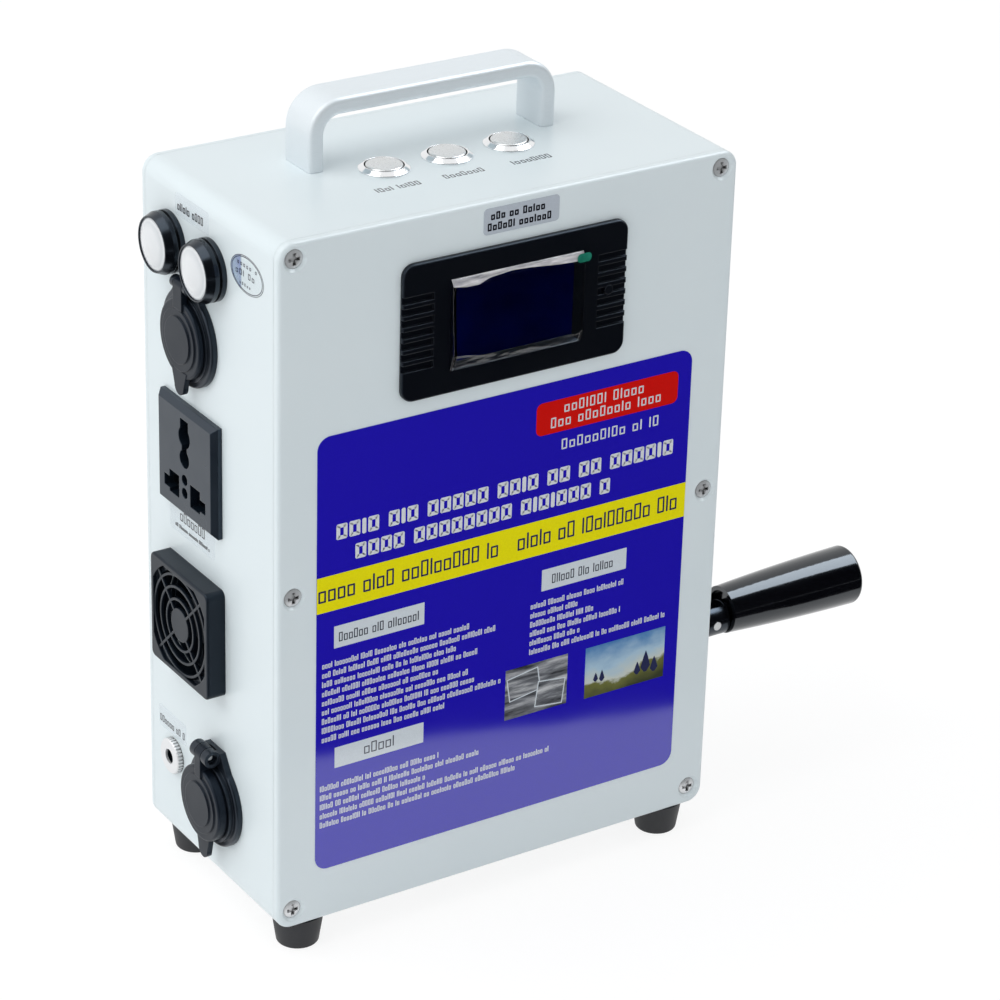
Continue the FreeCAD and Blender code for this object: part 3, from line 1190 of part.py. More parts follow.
def make_fan_rotor():
    """Fan hub with its pitched blades, on the frame's spindle."""
    hub_front = LEFT + CASE_WALL + FAN_MOTOR_PLATE + LOOSE_GAP
    hub_back = LEFT + CASE_WALL + FAN_DEPTH - LOOSE_GAP / 2
    hub = rod(FAN_HUB_RADIUS, (hub_front, FAN_Y, FAN_Z), (hub_back, FAN_Y, FAN_Z))
    hub = round_rim(hub, 0, hub_back, FAN_HUB_WALL / 2)
    middle = (hub_front + hub_back) / 2
    half_height = (hub_back - hub_front) / 2 - LOOSE_GAP
    blades = []
    for k in range(FAN_BLADE_COUNT):
        blade = box(
            (-FAN_BLADE_THICKNESS / 2, -FAN_BLADE_CHORD / 2, FAN_HUB_RADIUS - FAN_HUB_WALL),
            (FAN_BLADE_THICKNESS / 2, FAN_BLADE_CHORD / 2, FAN_BLADE_TIP_RADIUS))
        blade.rotate(Vector(0, 0, 0), Z_AXIS, FAN_BLADE_PITCH)
        blade.translate(Vector(middle, FAN_Y, FAN_Z))
        blade.rotate(Vector(middle, FAN_Y, FAN_Z), X_AXIS, 360 / FAN_BLADE_COUNT * k)
        blades.append(blade)
    envelope = rod(
        FAN_BLADE_TIP_RADIUS, (middle - half_height, FAN_Y, FAN_Z), (middle + half_height, FAN_Y, FAN_Z))
    blades = [blade.common(envelope) for blade in blades]
    bore_end = hub_back - FAN_HUB_WALL
    bore = rod(FAN_SPINDLE_RADIUS + RUNNING_GAP, (hub_front, FAN_Y, FAN_Z), (bore_end, FAN_Y, FAN_Z))
    return fuse(hub, *blades).cut(bore)


def make_fan_screws():
    """Four screws from inside, through the fan's frame and the wall into the guard's corners."""
    screws = []
    seat = LEFT + CASE_WALL + FAN_DEPTH
    top = seat + FAN_SCREW_HEAD_HEIGHT
    for y, z in fan_screw_places():
        head = rod(FAN_SCREW_HEAD_RADIUS, (seat, y, z), (top, y, z))
        screw = fuse(head, rod(FAN_SCREW_RADIUS, (LEFT - FAN_SCREW_REACH, y, z), (seat, y, z)))
        recess = cross_recess(FAN_SCREW_HEAD_RADIUS, FAN_SCREW_HEAD_HEIGHT / 2, (top, y, z), (1, 0, 0))
        screws.append(screw.cut(recess))
    return group(screws)


# ---------------------------------------------------------------- charging jack
def make_charge_jack():
    """Barrel jack for the charger, with its centre pin."""
    front = LEFT - JACK_PROUD
    back = LEFT + JACK_BARREL_LENGTH
    barrel = rod(JACK_BARREL_RADIUS, (front, JACK_Y, JACK_Z), (back, JACK_Y, JACK_Z))
    flange_start = LEFT + CASE_WALL
    flange_end = flange_start + JACK_FLANGE_THICKNESS
    flange = rod(JACK_FLANGE_RADIUS, (flange_start, JACK_Y, JACK_Z), (flange_end, JACK_Y, JACK_Z))
    floor = front + JACK_BORE_DEPTH
    bore = rod(JACK_BORE_RADIUS, (front, JACK_Y, JACK_Z), (floor, JACK_Y, JACK_Z))
    pin = rod(JACK_PIN_RADIUS, (floor - JACK_PIN_LENGTH, JACK_Y, JACK_Z), (floor, JACK_Y, JACK_Z))
    return fuse(fuse(barrel, flange).cut(bore), pin)


def make_charge_jack_nut():
    """Fluted ring nut on the jack, outside the wall, with a lip over the barrel's end."""
    face = LEFT - JACK_NUT_THICKNESS
    nut = rod(JACK_NUT_RADIUS, (face, JACK_Y, JACK_Z), (LEFT, JACK_Y, JACK_Z))
    nut = bevel_rim(nut, 0, face, JACK_NUT_BEVEL)
    cutters = [
        rod(JACK_BARREL_RADIUS, (LEFT - JACK_PROUD, JACK_Y, JACK_Z), (LEFT, JACK_Y, JACK_Z)),
        rod(JACK_NUT_OPENING, (face, JACK_Y, JACK_Z), (LEFT, JACK_Y, JACK_Z)),
    ]
    for k in range(JACK_NUT_FLUTE_COUNT):
        angle = 2 * math.pi * k / JACK_NUT_FLUTE_COUNT
        y = JACK_Y + JACK_NUT_RADIUS * math.cos(angle)
        z = JACK_Z + JACK_NUT_RADIUS * math.sin(angle)
        cutters.append(rod(JACK_NUT_FLUTE_RADIUS, (face, y, z), (LEFT, y, z)))
    return nut.cut(cutters)


# ---------------------------------------------------------------- crank
HUB_INNER = RIGHT + BEARING_FLANGE_THICKNESS + ARM_GAP
ARM_OUTER = HUB_INNER + ARM_HUB_LENGTH
ARM_INNER = ARM_OUTER - ARM_THICKNESS
HINGE_X = ARM_OUTER + TONGUE_LENGTH
HINGE_Z = SHAFT_Z - ARM_LENGTH
GRIP_SMALL_X = HINGE_X + GRIP_START
GRIP_LARGE_X = GRIP_SMALL_X + GRIP_LENGTH
GRIP_Z = HINGE_Z + GRIP_RISE

# ---------------------------------------------------------------- gear train places
OUTER_PLATE_X = INNER_HALF_WIDTH - GEARBOX_PLATE
INNER_PLATE_X = OUTER_PLATE_X - GEARBOX_SPACE - GEARBOX_PLATE
DRIVE_GEAR_X = OUTER_PLATE_X - 3 * PINION_OVERLAP - DRIVE_GEAR_WIDTH
IDLER_GEAR_X = DRIVE_GEAR_X - GEAR_PLANE_GAP - IDLER_GEAR_WIDTH
FIRST_CENTRES = GEAR_MODULE * (DRIVE_TEETH + PINION_TEETH) / 2
SECOND_CENTRES = GEAR_MODULE * (IDLER_TEETH + PINION_TEETH) / 2
GENERATOR_Z = SHAFT_Z + GENERATOR_RISE
IDLER_RISE = (FIRST_CENTRES ** 2 - SECOND_CENTRES ** 2 + GENERATOR_RISE ** 2) / (2 * GENERATOR_RISE)
IDLER_Z = SHAFT_Z + IDLER_RISE
IDLER_Y = math.sqrt(FIRST_CENTRES ** 2 - IDLER_RISE ** 2)


def make_shaft_bearing():
    """Flanged bush that carries the crank shaft in the right wall and the gearbox plate."""
    face = RIGHT + BEARING_FLANGE_THICKNESS
    bush = fuse(
        rod(BEARING_FLANGE_RADIUS, (RIGHT, 0, SHAFT_Z), (face, 0, SHAFT_Z)),
        rod(BEARING_BARREL_RADIUS, (OUTER_PLATE_X, 0, SHAFT_Z), (RIGHT, 0, SHAFT_Z)))
    bush = bevel_rim(bush, 0, face, BEARING_FLANGE_THICKNESS / 4)
    bore = rod(SHAFT_RADIUS + RUNNING_GAP, (OUTER_PLATE_X, 0, SHAFT_Z), (face, 0, SHAFT_Z))
    return bush.cut(bore)


def make_crank_shaft():
    """Shaft from the inner gearbox plate out to the crank arm."""
    outer_end = ARM_OUTER - ARM_HUB_FLOOR
    shaft = rod(SHAFT_RADIUS, (INNER_PLATE_X + SHAFT_END_GAP, 0, SHAFT_Z), (outer_end, 0, SHAFT_Z))
    tapped = rod(CRANK_SCREW_RADIUS, (outer_end - CRANK_SCREW_LENGTH, 0, SHAFT_Z), (outer_end, 0, SHAFT_Z))
    return shaft.cut(tapped)


def make_crank_screw():
    """Screw that holds the arm on the shaft."""
    head = rod(
        CRANK_SCREW_HEAD_RADIUS, (ARM_OUTER, 0, SHAFT_Z), (ARM_OUTER + CRANK_SCREW_HEAD_HEIGHT, 0, SHAFT_Z))
    head = round_rim(head, 0, ARM_OUTER + CRANK_SCREW_HEAD_HEIGHT, CRANK_SCREW_HEAD_HEIGHT / 3)
    shank = rod(CRANK_SCREW_RADIUS, (ARM_OUTER - CRANK_SCREW_LENGTH, 0, SHAFT_Z), (ARM_OUTER, 0, SHAFT_Z))
    recess = cross_recess(
        CRANK_SCREW_HEAD_RADIUS, CRANK_SCREW_HEAD_HEIGHT / 2,
        (ARM_OUTER + CRANK_SCREW_HEAD_HEIGHT, 0, SHAFT_Z), (1, 0, 0))
    return fuse(head, shank).cut(recess)


def make_crank_arm():
    """Flat tapered arm with a hub at the shaft and a hinge tongue at the grip."""
    # the straight flanks touch both end circles
    lean = math.asin((ARM_HUB_RADIUS - ARM_END_RADIUS) / ARM_LENGTH)
    hub_y, hub_z = ARM_HUB_RADIUS * math.cos(lean), SHAFT_Z - ARM_HUB_RADIUS * math.sin(lean)
    end_y, end_z = ARM_END_RADIUS * math.cos(lean), HINGE_Z - ARM_END_RADIUS * math.sin(lean)
    flank = [
        Vector(ARM_INNER, hub_y, hub_z), Vector(ARM_INNER, end_y, end_z),
        Vector(ARM_INNER, -end_y, end_z), Vector(ARM_INNER, -hub_y, hub_z),
    ]
    web = Part.Face(Part.makePolygon(flank + [flank[0]])).extrude(X_AXIS * ARM_THICKNESS)
    arm = fuse(
        web,
        rod(ARM_HUB_RADIUS, (ARM_INNER, 0, SHAFT_Z), (ARM_OUTER, 0, SHAFT_Z)),
        rod(ARM_END_RADIUS, (ARM_INNER, 0, HINGE_Z), (ARM_OUTER, 0, HINGE_Z)))
    arm = round_rim(arm, 0, ARM_OUTER, ARM_EDGE_ROUND)
    arm = round_rim(arm, 0, ARM_INNER, ARM_EDGE_ROUND)
    hub = rod(ARM_HUB_RADIUS - ARM_EDGE_ROUND, (HUB_INNER, 0, SHAFT_Z), (ARM_OUTER, 0, SHAFT_Z))
    half = TONGUE_THICKNESS / 2
    tongue = fuse(
        box(
            (ARM_OUTER - ARM_THICKNESS / 2, -half, HINGE_Z - TONGUE_RADIUS),
            (HINGE_X, half, HINGE_Z + TONGUE_RADIUS)),
        rod(TONGUE_RADIUS, (HINGE_X, -half, HINGE_Z), (HINGE_X, half, HINGE_Z)))
    arm = fuse(arm, hub, tongue)
    shaft_seat = rod(SHAFT_RADIUS, (HUB_INNER, 0, SHAFT_Z), (ARM_OUTER - ARM_HUB_FLOOR, 0, SHAFT_Z))
    screw_hole = rod(CRANK_SCREW_RADIUS, (HUB_INNER, 0, SHAFT_Z), (ARM_OUTER, 0, SHAFT_Z))
    pin_hole = rod(GRIP_PIN_RADIUS, (HINGE_X, -half, HINGE_Z), (HINGE_X, half, HINGE_Z))
    return arm.cut([shaft_seat, screw_hole, pin_hole])


def make_grip_hinge_pin():
    """Bright cross pin on which the grip folds."""
    return rod(GRIP_PIN_RADIUS, (HINGE_X, -FERRULE_RADIUS, HINGE_Z), (HINGE_X, FERRULE_RADIUS, HINGE_Z))


def make_grip_knuckle():
    """Slotted ferrule on the hinge pin, with the spindle that carries the turning grip."""
    ferrule_end = GRIP_SMALL_X - LOOSE_GAP
    ferrule = rod(FERRULE_RADIUS, (HINGE_X - FERRULE_TAIL, 0, HINGE_Z), (ferrule_end, 0, HINGE_Z))
    half_slot = TONGUE_THICKNESS / 2 + LOOSE_GAP
    slot = box(
        (HINGE_X - FERRULE_TAIL, -half_slot, HINGE_Z - FERRULE_RADIUS),
        (HINGE_X + TONGUE_RADIUS + LOOSE_GAP, half_slot, HINGE_Z + FERRULE_RADIUS))
    pin_hole = rod(
        GRIP_PIN_RADIUS + RUNNING_GAP,
        (HINGE_X, -FERRULE_RADIUS, HINGE_Z), (HINGE_X, FERRULE_RADIUS, HINGE_Z))
    spindle_end = GRIP_LARGE_X - GRIP_SPINDLE_END
    spindle = rod(GRIP_SPINDLE_RADIUS, (ferrule_end, 0, GRIP_Z), (spindle_end, 0, GRIP_Z))
    head = rod(GRIP_HEAD_RADIUS, (spindle_end, 0, GRIP_Z), (spindle_end + GRIP_HEAD_THICKNESS, 0, GRIP_Z))
    return fuse(ferrule.cut([slot, pin_hole]), spindle, head)


def make_grip():
    """Turning grip, a convex taper that swells towards its outer end."""
    small = Vector(GRIP_SMALL_X, 0, GRIP_Z + GRIP_SMALL_RADIUS)
    middle = Vector((GRIP_SMALL_X + GRIP_LARGE_X) / 2, 0, GRIP_Z + GRIP_MIDDLE_RADIUS)
    large = Vector(GRIP_LARGE_X, 0, GRIP_Z + GRIP_LARGE_RADIUS)
    crown = Part.Arc(small, middle, large).toShape()
    axis_end = Vector(GRIP_LARGE_X, 0, GRIP_Z)
    axis_start = Vector(GRIP_SMALL_X, 0, GRIP_Z)
    outline = Part.Wire([crown, Part.makePolygon([large, axis_end, axis_start, small])])
    grip = Part.Face(outline).revolve(axis_start, X_AXIS, 360)
    grip = round_rim(grip, 0, GRIP_LARGE_X, GRIP_EDGE_ROUND)
    mouth = rod(GRIP_MOUTH_RADIUS, (GRIP_SMALL_X, 0, GRIP_Z), (GRIP_SMALL_X + GRIP_MOUTH_DEPTH, 0, GRIP_Z))
    bore = rod(GRIP_SPINDLE_RADIUS + RUNNING_GAP, (GRIP_SMALL_X, 0, GRIP_Z), (GRIP_LARGE_X, 0, GRIP_Z))
    well_start = GRIP_LARGE_X - GRIP_SPINDLE_END - LOOSE_GAP
    well = rod(GRIP_HEAD_RADIUS + LOOSE_GAP, (well_start, 0, GRIP_Z), (GRIP_LARGE_X, 0, GRIP_Z))
    return grip.cut([mouth, bore, well])


# ---------------------------------------------------------------- gear train
def gear_blank(teeth, width, tooth_angle):
    """Spur gear along +X from the origin, one tooth centred at tooth_angle from +Y."""
    pitch = GEAR_MODULE * teeth / 2
    base = pitch * math.cos(math.radians(PRESSURE_ANGLE))
    tip = pitch + GEAR_MODULE * GEAR_ADDENDUM
    root = pitch - GEAR_MODULE * GEAR_DEDENDUM
    half_tooth = (math.pi * GEAR_MODULE / 2 - GEAR_BACKLASH / 2) / 2 / pitch

    def involute(angle):
        return math.tan(angle) - angle

    def flank(radius):
        """Half the tooth's angle at this radius."""
        at_pitch = half_tooth + involute(math.radians(PRESSURE_ANGLE))
        if radius <= base:
            return at_pitch
        return at_pitch - involute(math.acos(base / radius))

    start = max(base, root)
    radii = [root] + [start + (tip - start) * k / FLANK_STEPS for k in range(FLANK_STEPS + 1)]
    if start == root:
        radii = radii[1:]
    points = []
    for k in range(teeth):
        middle = math.radians(tooth_angle) + 2 * math.pi * k / teeth
        for radius in radii:
            points.append((radius, middle - flank(radius)))
        for radius in reversed(radii):
            points.append((radius, middle + flank(radius)))
    corners = [Vector(0, r * math.cos(a), r * math.sin(a)) for r, a in points]
    return Part.Face(Part.makePolygon(corners + [corners[0]])).extrude(X_AXIS * width)


def mesh_angle(direction, teeth, driver_teeth, driver_tooth):
    """Tooth angle of a gear that meshes with a driver lying in this direction from it."""
    contact_driver = direction + 180
    driver_pitch = 360 / driver_teeth
    phase = ((contact_driver - driver_tooth) / driver_pitch) % 1
    own_pitch = 360 / teeth
    return direction + own_pitch * (phase + 0.5)


FIRST_LINE = math.degrees(math.atan2(IDLER_Z - SHAFT_Z, IDLER_Y))
SECOND_LINE = math.degrees(math.atan2(GENERATOR_Z - IDLER_Z, -IDLER_Y))
DRIVE_TOOTH = FIRST_LINE
IDLER_PINION_TOOTH = mesh_angle(FIRST_LINE + 180, PINION_TEETH, DRIVE_TEETH, DRIVE_TOOTH)
IDLER_TOOTH = SECOND_LINE
GENERATOR_TOOTH = mesh_angle(SECOND_LINE + 180, PINION_TEETH, IDLER_TEETH, IDLER_TOOTH)


def make_drive_gear():
    """Large gear fixed to the crank shaft."""
    gear = gear_blank(DRIVE_TEETH, DRIVE_GEAR_WIDTH, DRIVE_TOOTH)
    gear.translate(Vector(DRIVE_GEAR_X, 0, SHAFT_Z))
    hub_end = DRIVE_GEAR_X + DRIVE_GEAR_WIDTH + PINION_OVERLAP
    hub = rod(GEAR_WEB_HUB_RADIUS, (DRIVE_GEAR_X, 0, SHAFT_Z), (hub_end, 0, SHAFT_Z))
    bore = rod(SHAFT_RADIUS, (DRIVE_GEAR_X, 0, SHAFT_Z), (hub_end, 0, SHAFT_Z))
    return fuse(gear, hub).cut(bore)


def make_idler_gear():
    """Intermediate gear with its pinion, on one spindle between the plates."""
    gear = gear_blank(IDLER_TEETH, IDLER_GEAR_WIDTH, IDLER_TOOTH)
    gear.translate(Vector(IDLER_GEAR_X, IDLER_Y, IDLER_Z))
    pinion_width = DRIVE_GEAR_WIDTH + 2 * PINION_OVERLAP
    pinion = gear_blank(PINION_TEETH, pinion_width, IDLER_PINION_TOOTH)
    pinion.translate(Vector(DRIVE_GEAR_X - PINION_OVERLAP, IDLER_Y, IDLER_Z))
    spindle_end = OUTER_PLATE_X + GEARBOX_PLATE / 2
    spindle = rod(IDLER_SHAFT_RADIUS, (INNER_PLATE_X, IDLER_Y, IDLER_Z), (spindle_end, IDLER_Y, IDLER_Z))
    return fuse(gear, pinion, spindle)


def make_gearbox_plates():
    """Two side plates of the gearbox."""
    plates = []
    boss_room = BOSS_RADIUS + BOSS_GAP
    boss_y = SHELL_HALF_DEPTH - BOSS_LENGTH - BOSS_GAP
    boss_z = (COVER_SCREW_INSET_BOTTOM + CASE_HEIGHT - COVER_SCREW_INSET_TOP) / 2
    for x in (INNER_PLATE_X, OUTER_PLATE_X):
        plate = rounded_block(
            (x, GEARBOX_FRONT_Y, GEARBOX_BOTTOM), (x + GEARBOX_PLATE, GEARBOX_REAR_Y, GEARBOX_TOP),
            SPACER_INSET, 0)
        end = x + GEARBOX_PLATE
        holes = [rod(SPACER_RADIUS / 2, (x, y, z), (end, y, z)) for y, z in spacer_places()]
        holes.append(rod(IDLER_SHAFT_RADIUS + RUNNING_GAP, (x, IDLER_Y, IDLER_Z), (end, IDLER_Y, IDLER_Z)))
        if x == OUTER_PLATE_X:
            holes.append(rod(BEARING_BARREL_RADIUS + RUNNING_GAP, (x, 0, SHAFT_Z), (end, 0, SHAFT_Z)))
            # clear of the cover screw's boss in the right wall
            holes.append(box((x, boss_y, boss_z - boss_room), (end, GEARBOX_REAR_Y, boss_z + boss_room)))
        else:
            holes.append(rod(SHAFT_RADIUS + RUNNING_GAP, (x, 0, SHAFT_Z), (end, 0, SHAFT_Z)))
            holes.append(rod(GENERATOR_NOSE_RADIUS + RUNNING_GAP, (x, 0, GENERATOR_Z), (end, 0, GENERATOR_Z)))
        plates.append(plate.cut(holes))
    return group(plates)


def spacer_places():
    """Middles of the four plate spacers, as (y, z)."""
    return [
        (y, z)
        for y in (GEARBOX_FRONT_Y + SPACER_INSET, GEARBOX_REAR_Y - SPACER_INSET)
        for z in (GEARBOX_BOTTOM + SPACER_INSET, GEARBOX_TOP - SPACER_INSET)
    ]


def make_gearbox_spacers():
    """Round spacers that hold the two plates apart, with pins into both plates."""
    spacers = []
    for y, z in spacer_places():
        body = rod(SPACER_RADIUS, (INNER_PLATE_X + GEARBOX_PLATE, y, z), (OUTER_PLATE_X, y, z))
        pin = rod(SPACER_RADIUS / 2, (INNER_PLATE_X, y, z), (OUTER_PLATE_X + GEARBOX_PLATE, y, z))
        spacers.append(fuse(body, pin))
    return group(spacers)


def make_generator_housing():
    """Drum of the generator on the inner plate, with a nose that centres it."""
    back = INNER_PLATE_X - GENERATOR_LENGTH
    drum = rod(GENERATOR_RADIUS, (back, 0, GENERATOR_Z), (INNER_PLATE_X, 0, GENERATOR_Z))
    nose_end = INNER_PLATE_X + GEARBOX_PLATE / 2
    nose = rod(GENERATOR_NOSE_RADIUS, (INNER_PLATE_X, 0, GENERATOR_Z), (nose_end, 0, GENERATOR_Z))
    room = rod(
        GENERATOR_RADIUS - GENERATOR_WALL, (back + GENERATOR_WALL, 0, GENERATOR_Z),
        (INNER_PLATE_X - GENERATOR_WALL, 0, GENERATOR_Z))
    bore_end = INNER_PLATE_X + GEARBOX_PLATE
    bore = rod(GENERATOR_SHAFT_RADIUS + RUNNING_GAP, (back, 0, GENERATOR_Z), (bore_end, 0, GENERATOR_Z))
    return fuse(drum, nose).cut([room, bore])


def make_generator_rotor():
    """Slotted rotor with its shaft and pinion."""
    back = INNER_PLATE_X - GENERATOR_LENGTH
    middle = (back + INNER_PLATE_X) / 2
    low, high = middle - ROTOR_LENGTH / 2, middle + ROTOR_LENGTH / 2
    core = rod(ROTOR_RADIUS, (low, 0, GENERATOR_Z), (high, 0, GENERATOR_Z))
    slots = []
    for k in range(ROTOR_SLOT_COUNT):
        slot = box(
            (low, -ROTOR_SLOT_WIDTH / 2, GENERATOR_Z + ROTOR_RADIUS - ROTOR_SLOT_DEPTH),
            (high, ROTOR_SLOT_WIDTH / 2, GENERATOR_Z + ROTOR_RADIUS))
        slot.rotate(Vector(middle, 0, GENERATOR_Z), X_AXIS, 360 / ROTOR_SLOT_COUNT * k)
        slots.append(slot)
    pinion_width = IDLER_GEAR_WIDTH + 2 * PINION_OVERLAP
    pinion_x = IDLER_GEAR_X - PINION_OVERLAP
    pinion = gear_blank(PINION_TEETH, pinion_width, GENERATOR_TOOTH)
    pinion.translate(Vector(pinion_x, 0, GENERATOR_Z))
    shaft = rod(GENERATOR_SHAFT_RADIUS, (back, 0, GENERATOR_Z), (pinion_x + pinion_width, 0, GENERATOR_Z))
    return fuse(core.cut(slots), shaft, pinion)


# ---------------------------------------------------------------- battery and boards
PACK_RIGHT = INNER_HALF_WIDTH - CELL_SIDE_GAP
PACK_WIDTH = CELL_COLUMNS * CELL_PITCH + 2 * HOLDER_MARGIN
PACK_HEIGHT = CELL_ROWS * CELL_PITCH + 2 * HOLDER_MARGIN
PACK_LEFT = PACK_RIGHT - PACK_WIDTH
PACK_TOP = CASE_WALL + PACK_HEIGHT


def cell_places():
    """Middles of the cells, as (x, z)."""
    x = PACK_LEFT + HOLDER_MARGIN + CELL_PITCH / 2
    z = CASE_WALL + HOLDER_MARGIN + CELL_PITCH / 2
    return [
        (x + CELL_PITCH * column, z + CELL_PITCH * row)
        for column in range(CELL_COLUMNS)
        for row in range(CELL_ROWS)
    ]


def make_battery_cells():
    """Round lithium cells lying front to back."""
    cells = []
    for index, (x, z) in enumerate(cell_places()):
        body = rod(CELL_RADIUS, (x, -CELL_LENGTH / 2, z), (x, CELL_LENGTH / 2 - CELL_CAP_HEIGHT, z))
        cap = rod(CELL_CAP_RADIUS, (x, CELL_LENGTH / 2 - CELL_CAP_HEIGHT, z), (x, CELL_LENGTH / 2, z))
        cell = fuse(body, cap)
        if index % 2:
            cell.rotate(Vector(x, 0, z), Z_AXIS, 180)
        cells.append(cell)
    return group(cells)


def make_battery_holders():
    """Two plastic holders that keep the cells apart and stand on the case floor."""
    holders = []
    for side in (-1, 1):
        y = side * HOLDER_SPACING / 2
        y_low, y_high = y - HOLDER_THICKNESS / 2, y + HOLDER_THICKNESS / 2
        plate = box((PACK_LEFT, y_low, CASE_WALL), (PACK_RIGHT, y_high, PACK_TOP))
        bores = [rod(CELL_RADIUS + RUNNING_GAP, (x, y_low, z), (x, y_high, z)) for x, z in cell_places()]
        holders.append(plate.cut(bores))
    return group(holders)


def make_inverter_board():
    """Inverter board on standoffs above the battery, with transformer, heat sink and capacitors."""
    right = PACK_RIGHT
    left = right - INVERTER_LENGTH
    low = PACK_TOP + INVERTER_STANDOFF
    top = low + BOARD_THICKNESS
    half = INVERTER_DEPTH / 2
    parts = [box((left, -half, low), (right, half, top))]
    seat_y = HOLDER_SPACING / 2
    for x in (left + STANDOFF_INSET, right - STANDOFF_INSET):
        for y in (-seat_y, seat_y):
            parts.append(rod(STANDOFF_RADIUS, (x, y, PACK_TOP), (x, y, low)))
    block_left = left + STANDOFF_INSET
    block_right = block_left + TRANSFORMER_SIZE
    parts.append(box((block_left, -TRANSFORMER_SIZE, top), (block_right, 0, top + TRANSFORMER_HEIGHT)))
    sink_y = STANDOFF_INSET
    parts.append(box(
        (block_left, sink_y, top), (block_right, sink_y + HEAT_SINK_WIDTH, top + STANDOFF_INSET)))
    fin_pitch = (HEAT_SINK_WIDTH - HEAT_SINK_FIN_WIDTH) / (HEAT_SINK_FIN_COUNT - 1)
    for k in range(HEAT_SINK_FIN_COUNT):
        y = sink_y + k * fin_pitch
        parts.append(box(
            (block_left, y, top), (block_right, y + HEAT_SINK_FIN_WIDTH, top + HEAT_SINK_HEIGHT)))
    for k in range(CAPACITOR_COUNT):
        x = right - (k + 1) * CAPACITOR_PITCH
        parts.append(rod(CAPACITOR_RADIUS, (x, 0, top), (x, 0, top + CAPACITOR_HEIGHT)))
    return fuse(*parts)


def make_charge_board():
    """Charge controller board on standoffs from the rear cover."""
    x_low, x_high = CHARGE_BOARD_X - CHARGE_BOARD_WIDTH / 2, CHARGE_BOARD_X + CHARGE_BOARD_WIDTH / 2
    z_low, z_high = CHARGE_BOARD_Z - CHARGE_BOARD_HEIGHT / 2, CHARGE_BOARD_Z + CHARGE_BOARD_HEIGHT / 2
    back = SHELL_HALF_DEPTH - CHARGE_STANDOFF
    front = back - BOARD_THICKNESS
    parts = [box((x_low, front, z_low), (x_high, back, z_high))]
    for x in (x_low + STANDOFF_INSET, x_high - STANDOFF_INSET):
        for z in (z_low + STANDOFF_INSET, z_high - STANDOFF_INSET):
            parts.append(rod(STANDOFF_RADIUS, (x, back, z), (x, SHELL_HALF_DEPTH, z)))
    for z in (CHARGE_BOARD_Z - CHIP_SIZE, CHARGE_BOARD_Z + CHIP_SIZE):
        parts.append(box(
            (CHARGE_BOARD_X - CHIP_SIZE / 2, front - CHIP_HEIGHT, z - CHIP_SIZE / 2),
            (CHARGE_BOARD_X + CHIP_SIZE / 2, front, z + CHIP_SIZE / 2)))
    return fuse(*parts)


# ---------------------------------------------------------------- all sub-parts
def sub_parts():
    """Every sub-part by its node name."""
    nodes = {
        "case_shell": make_case_shell(),
        "front_cover": make_cover(-1),
        "rear_cover": make_cover(1),
        "cover_screws": make_cover_screws(),
        "foot_screws": make_foot_screws(),
        "carry_handle": make_carry_handle(),
        "handle_screws": make_handle_screws(),
        "front_label": make_label(
            FRONT_LABEL_WIDTH, FRONT_LABEL_HEIGHT, FRONT_LABEL_X, FRONT_LABEL_Z, FRONT_LABEL_CORNER),
        "meter_label": make_label(
            METER_LABEL_WIDTH, METER_LABEL_HEIGHT, METER_LABEL_X, METER_LABEL_Z, METER_LABEL_CORNER),
        "meter_bezel": make_meter_bezel(),
        "meter_display": make_meter_display(),
        "meter_key": make_meter_key(),
        "front_lamp_bezel": make_lamp_bezel(LAMP_FRONT_Y),
        "rear_lamp_bezel": make_lamp_bezel(LAMP_REAR_Y),
        "front_lamp_lens": make_lamp_lens(LAMP_FRONT_Y),
        "rear_lamp_lens": make_lamp_lens(LAMP_REAR_Y),
        "lamp_boards": make_lamp_boards(),
        "panel_nuts": make_panel_nuts(),
        "usb_socket": make_socket(USB),
        "usb_ports": make_usb_ports(),
        "usb_cap": make_cap(USB),
        "dc_socket": make_socket(DC),
        "dc_socket_contact": make_dc_socket_contact(),
        "dc_socket_cap": make_cap(DC),
        "cap_hinge_pins": make_hinge_pins(),
        "ac_socket_plate": make_ac_socket_plate(),
        "ac_socket_body": make_ac_socket_body(),
        "fan_guard": make_fan_guard(),
        "fan_frame": make_fan_frame(),
        "fan_rotor": make_fan_rotor(),
        "fan_screws": make_fan_screws(),
        "charge_jack": make_charge_jack(),
        "charge_jack_nut": make_charge_jack_nut(),
        "shaft_bearing": make_shaft_bearing(),
        "crank_shaft": make_crank_shaft(),
        "crank_arm": make_crank_arm(),
        "crank_screw": make_crank_screw(),
        "grip_hinge_pin": make_grip_hinge_pin(),
        "grip_knuckle": make_grip_knuckle(),
        "grip": make_grip(),
        "drive_gear": make_drive_gear(),
        "idler_gear": make_idler_gear(),
        "gearbox_plates": make_gearbox_plates(),
        "gearbox_spacers": make_gearbox_spacers(),
        "generator_housing": make_generator_housing(),
        "generator_rotor": make_generator_rotor(),
        "battery_cells": make_battery_cells(),
        "battery_holders": make_battery_holders(),
        "inverter_board": make_inverter_board(),
        "charge_board": make_charge_board(),
    }
    for name, (x, y) in zip(("front_left", "front_right", "rear_left", "rear_right"), foot_places()):
        nodes["foot_" + name] = make_foot(x, y)
    for name, x in zip(("mains", "lamp", "usb"), switch_places()):
        nodes[name + "_switch_body"] = make_switch_body(x)
        nodes[name + "_switch_button"] = make_switch_button(x)
    return nodes


os.makedirs("parts", exist_ok=True)
for name, shape in sub_parts().items():
    shape.exportStep("parts/" + name + ".step")
    print(name, "solids", len(shape.Solids), "valid", shape.isValid(), "volume", round(shape.Volume, 1))
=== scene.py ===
import math
import random
import bpy
from mathutils import Matrix, Vector


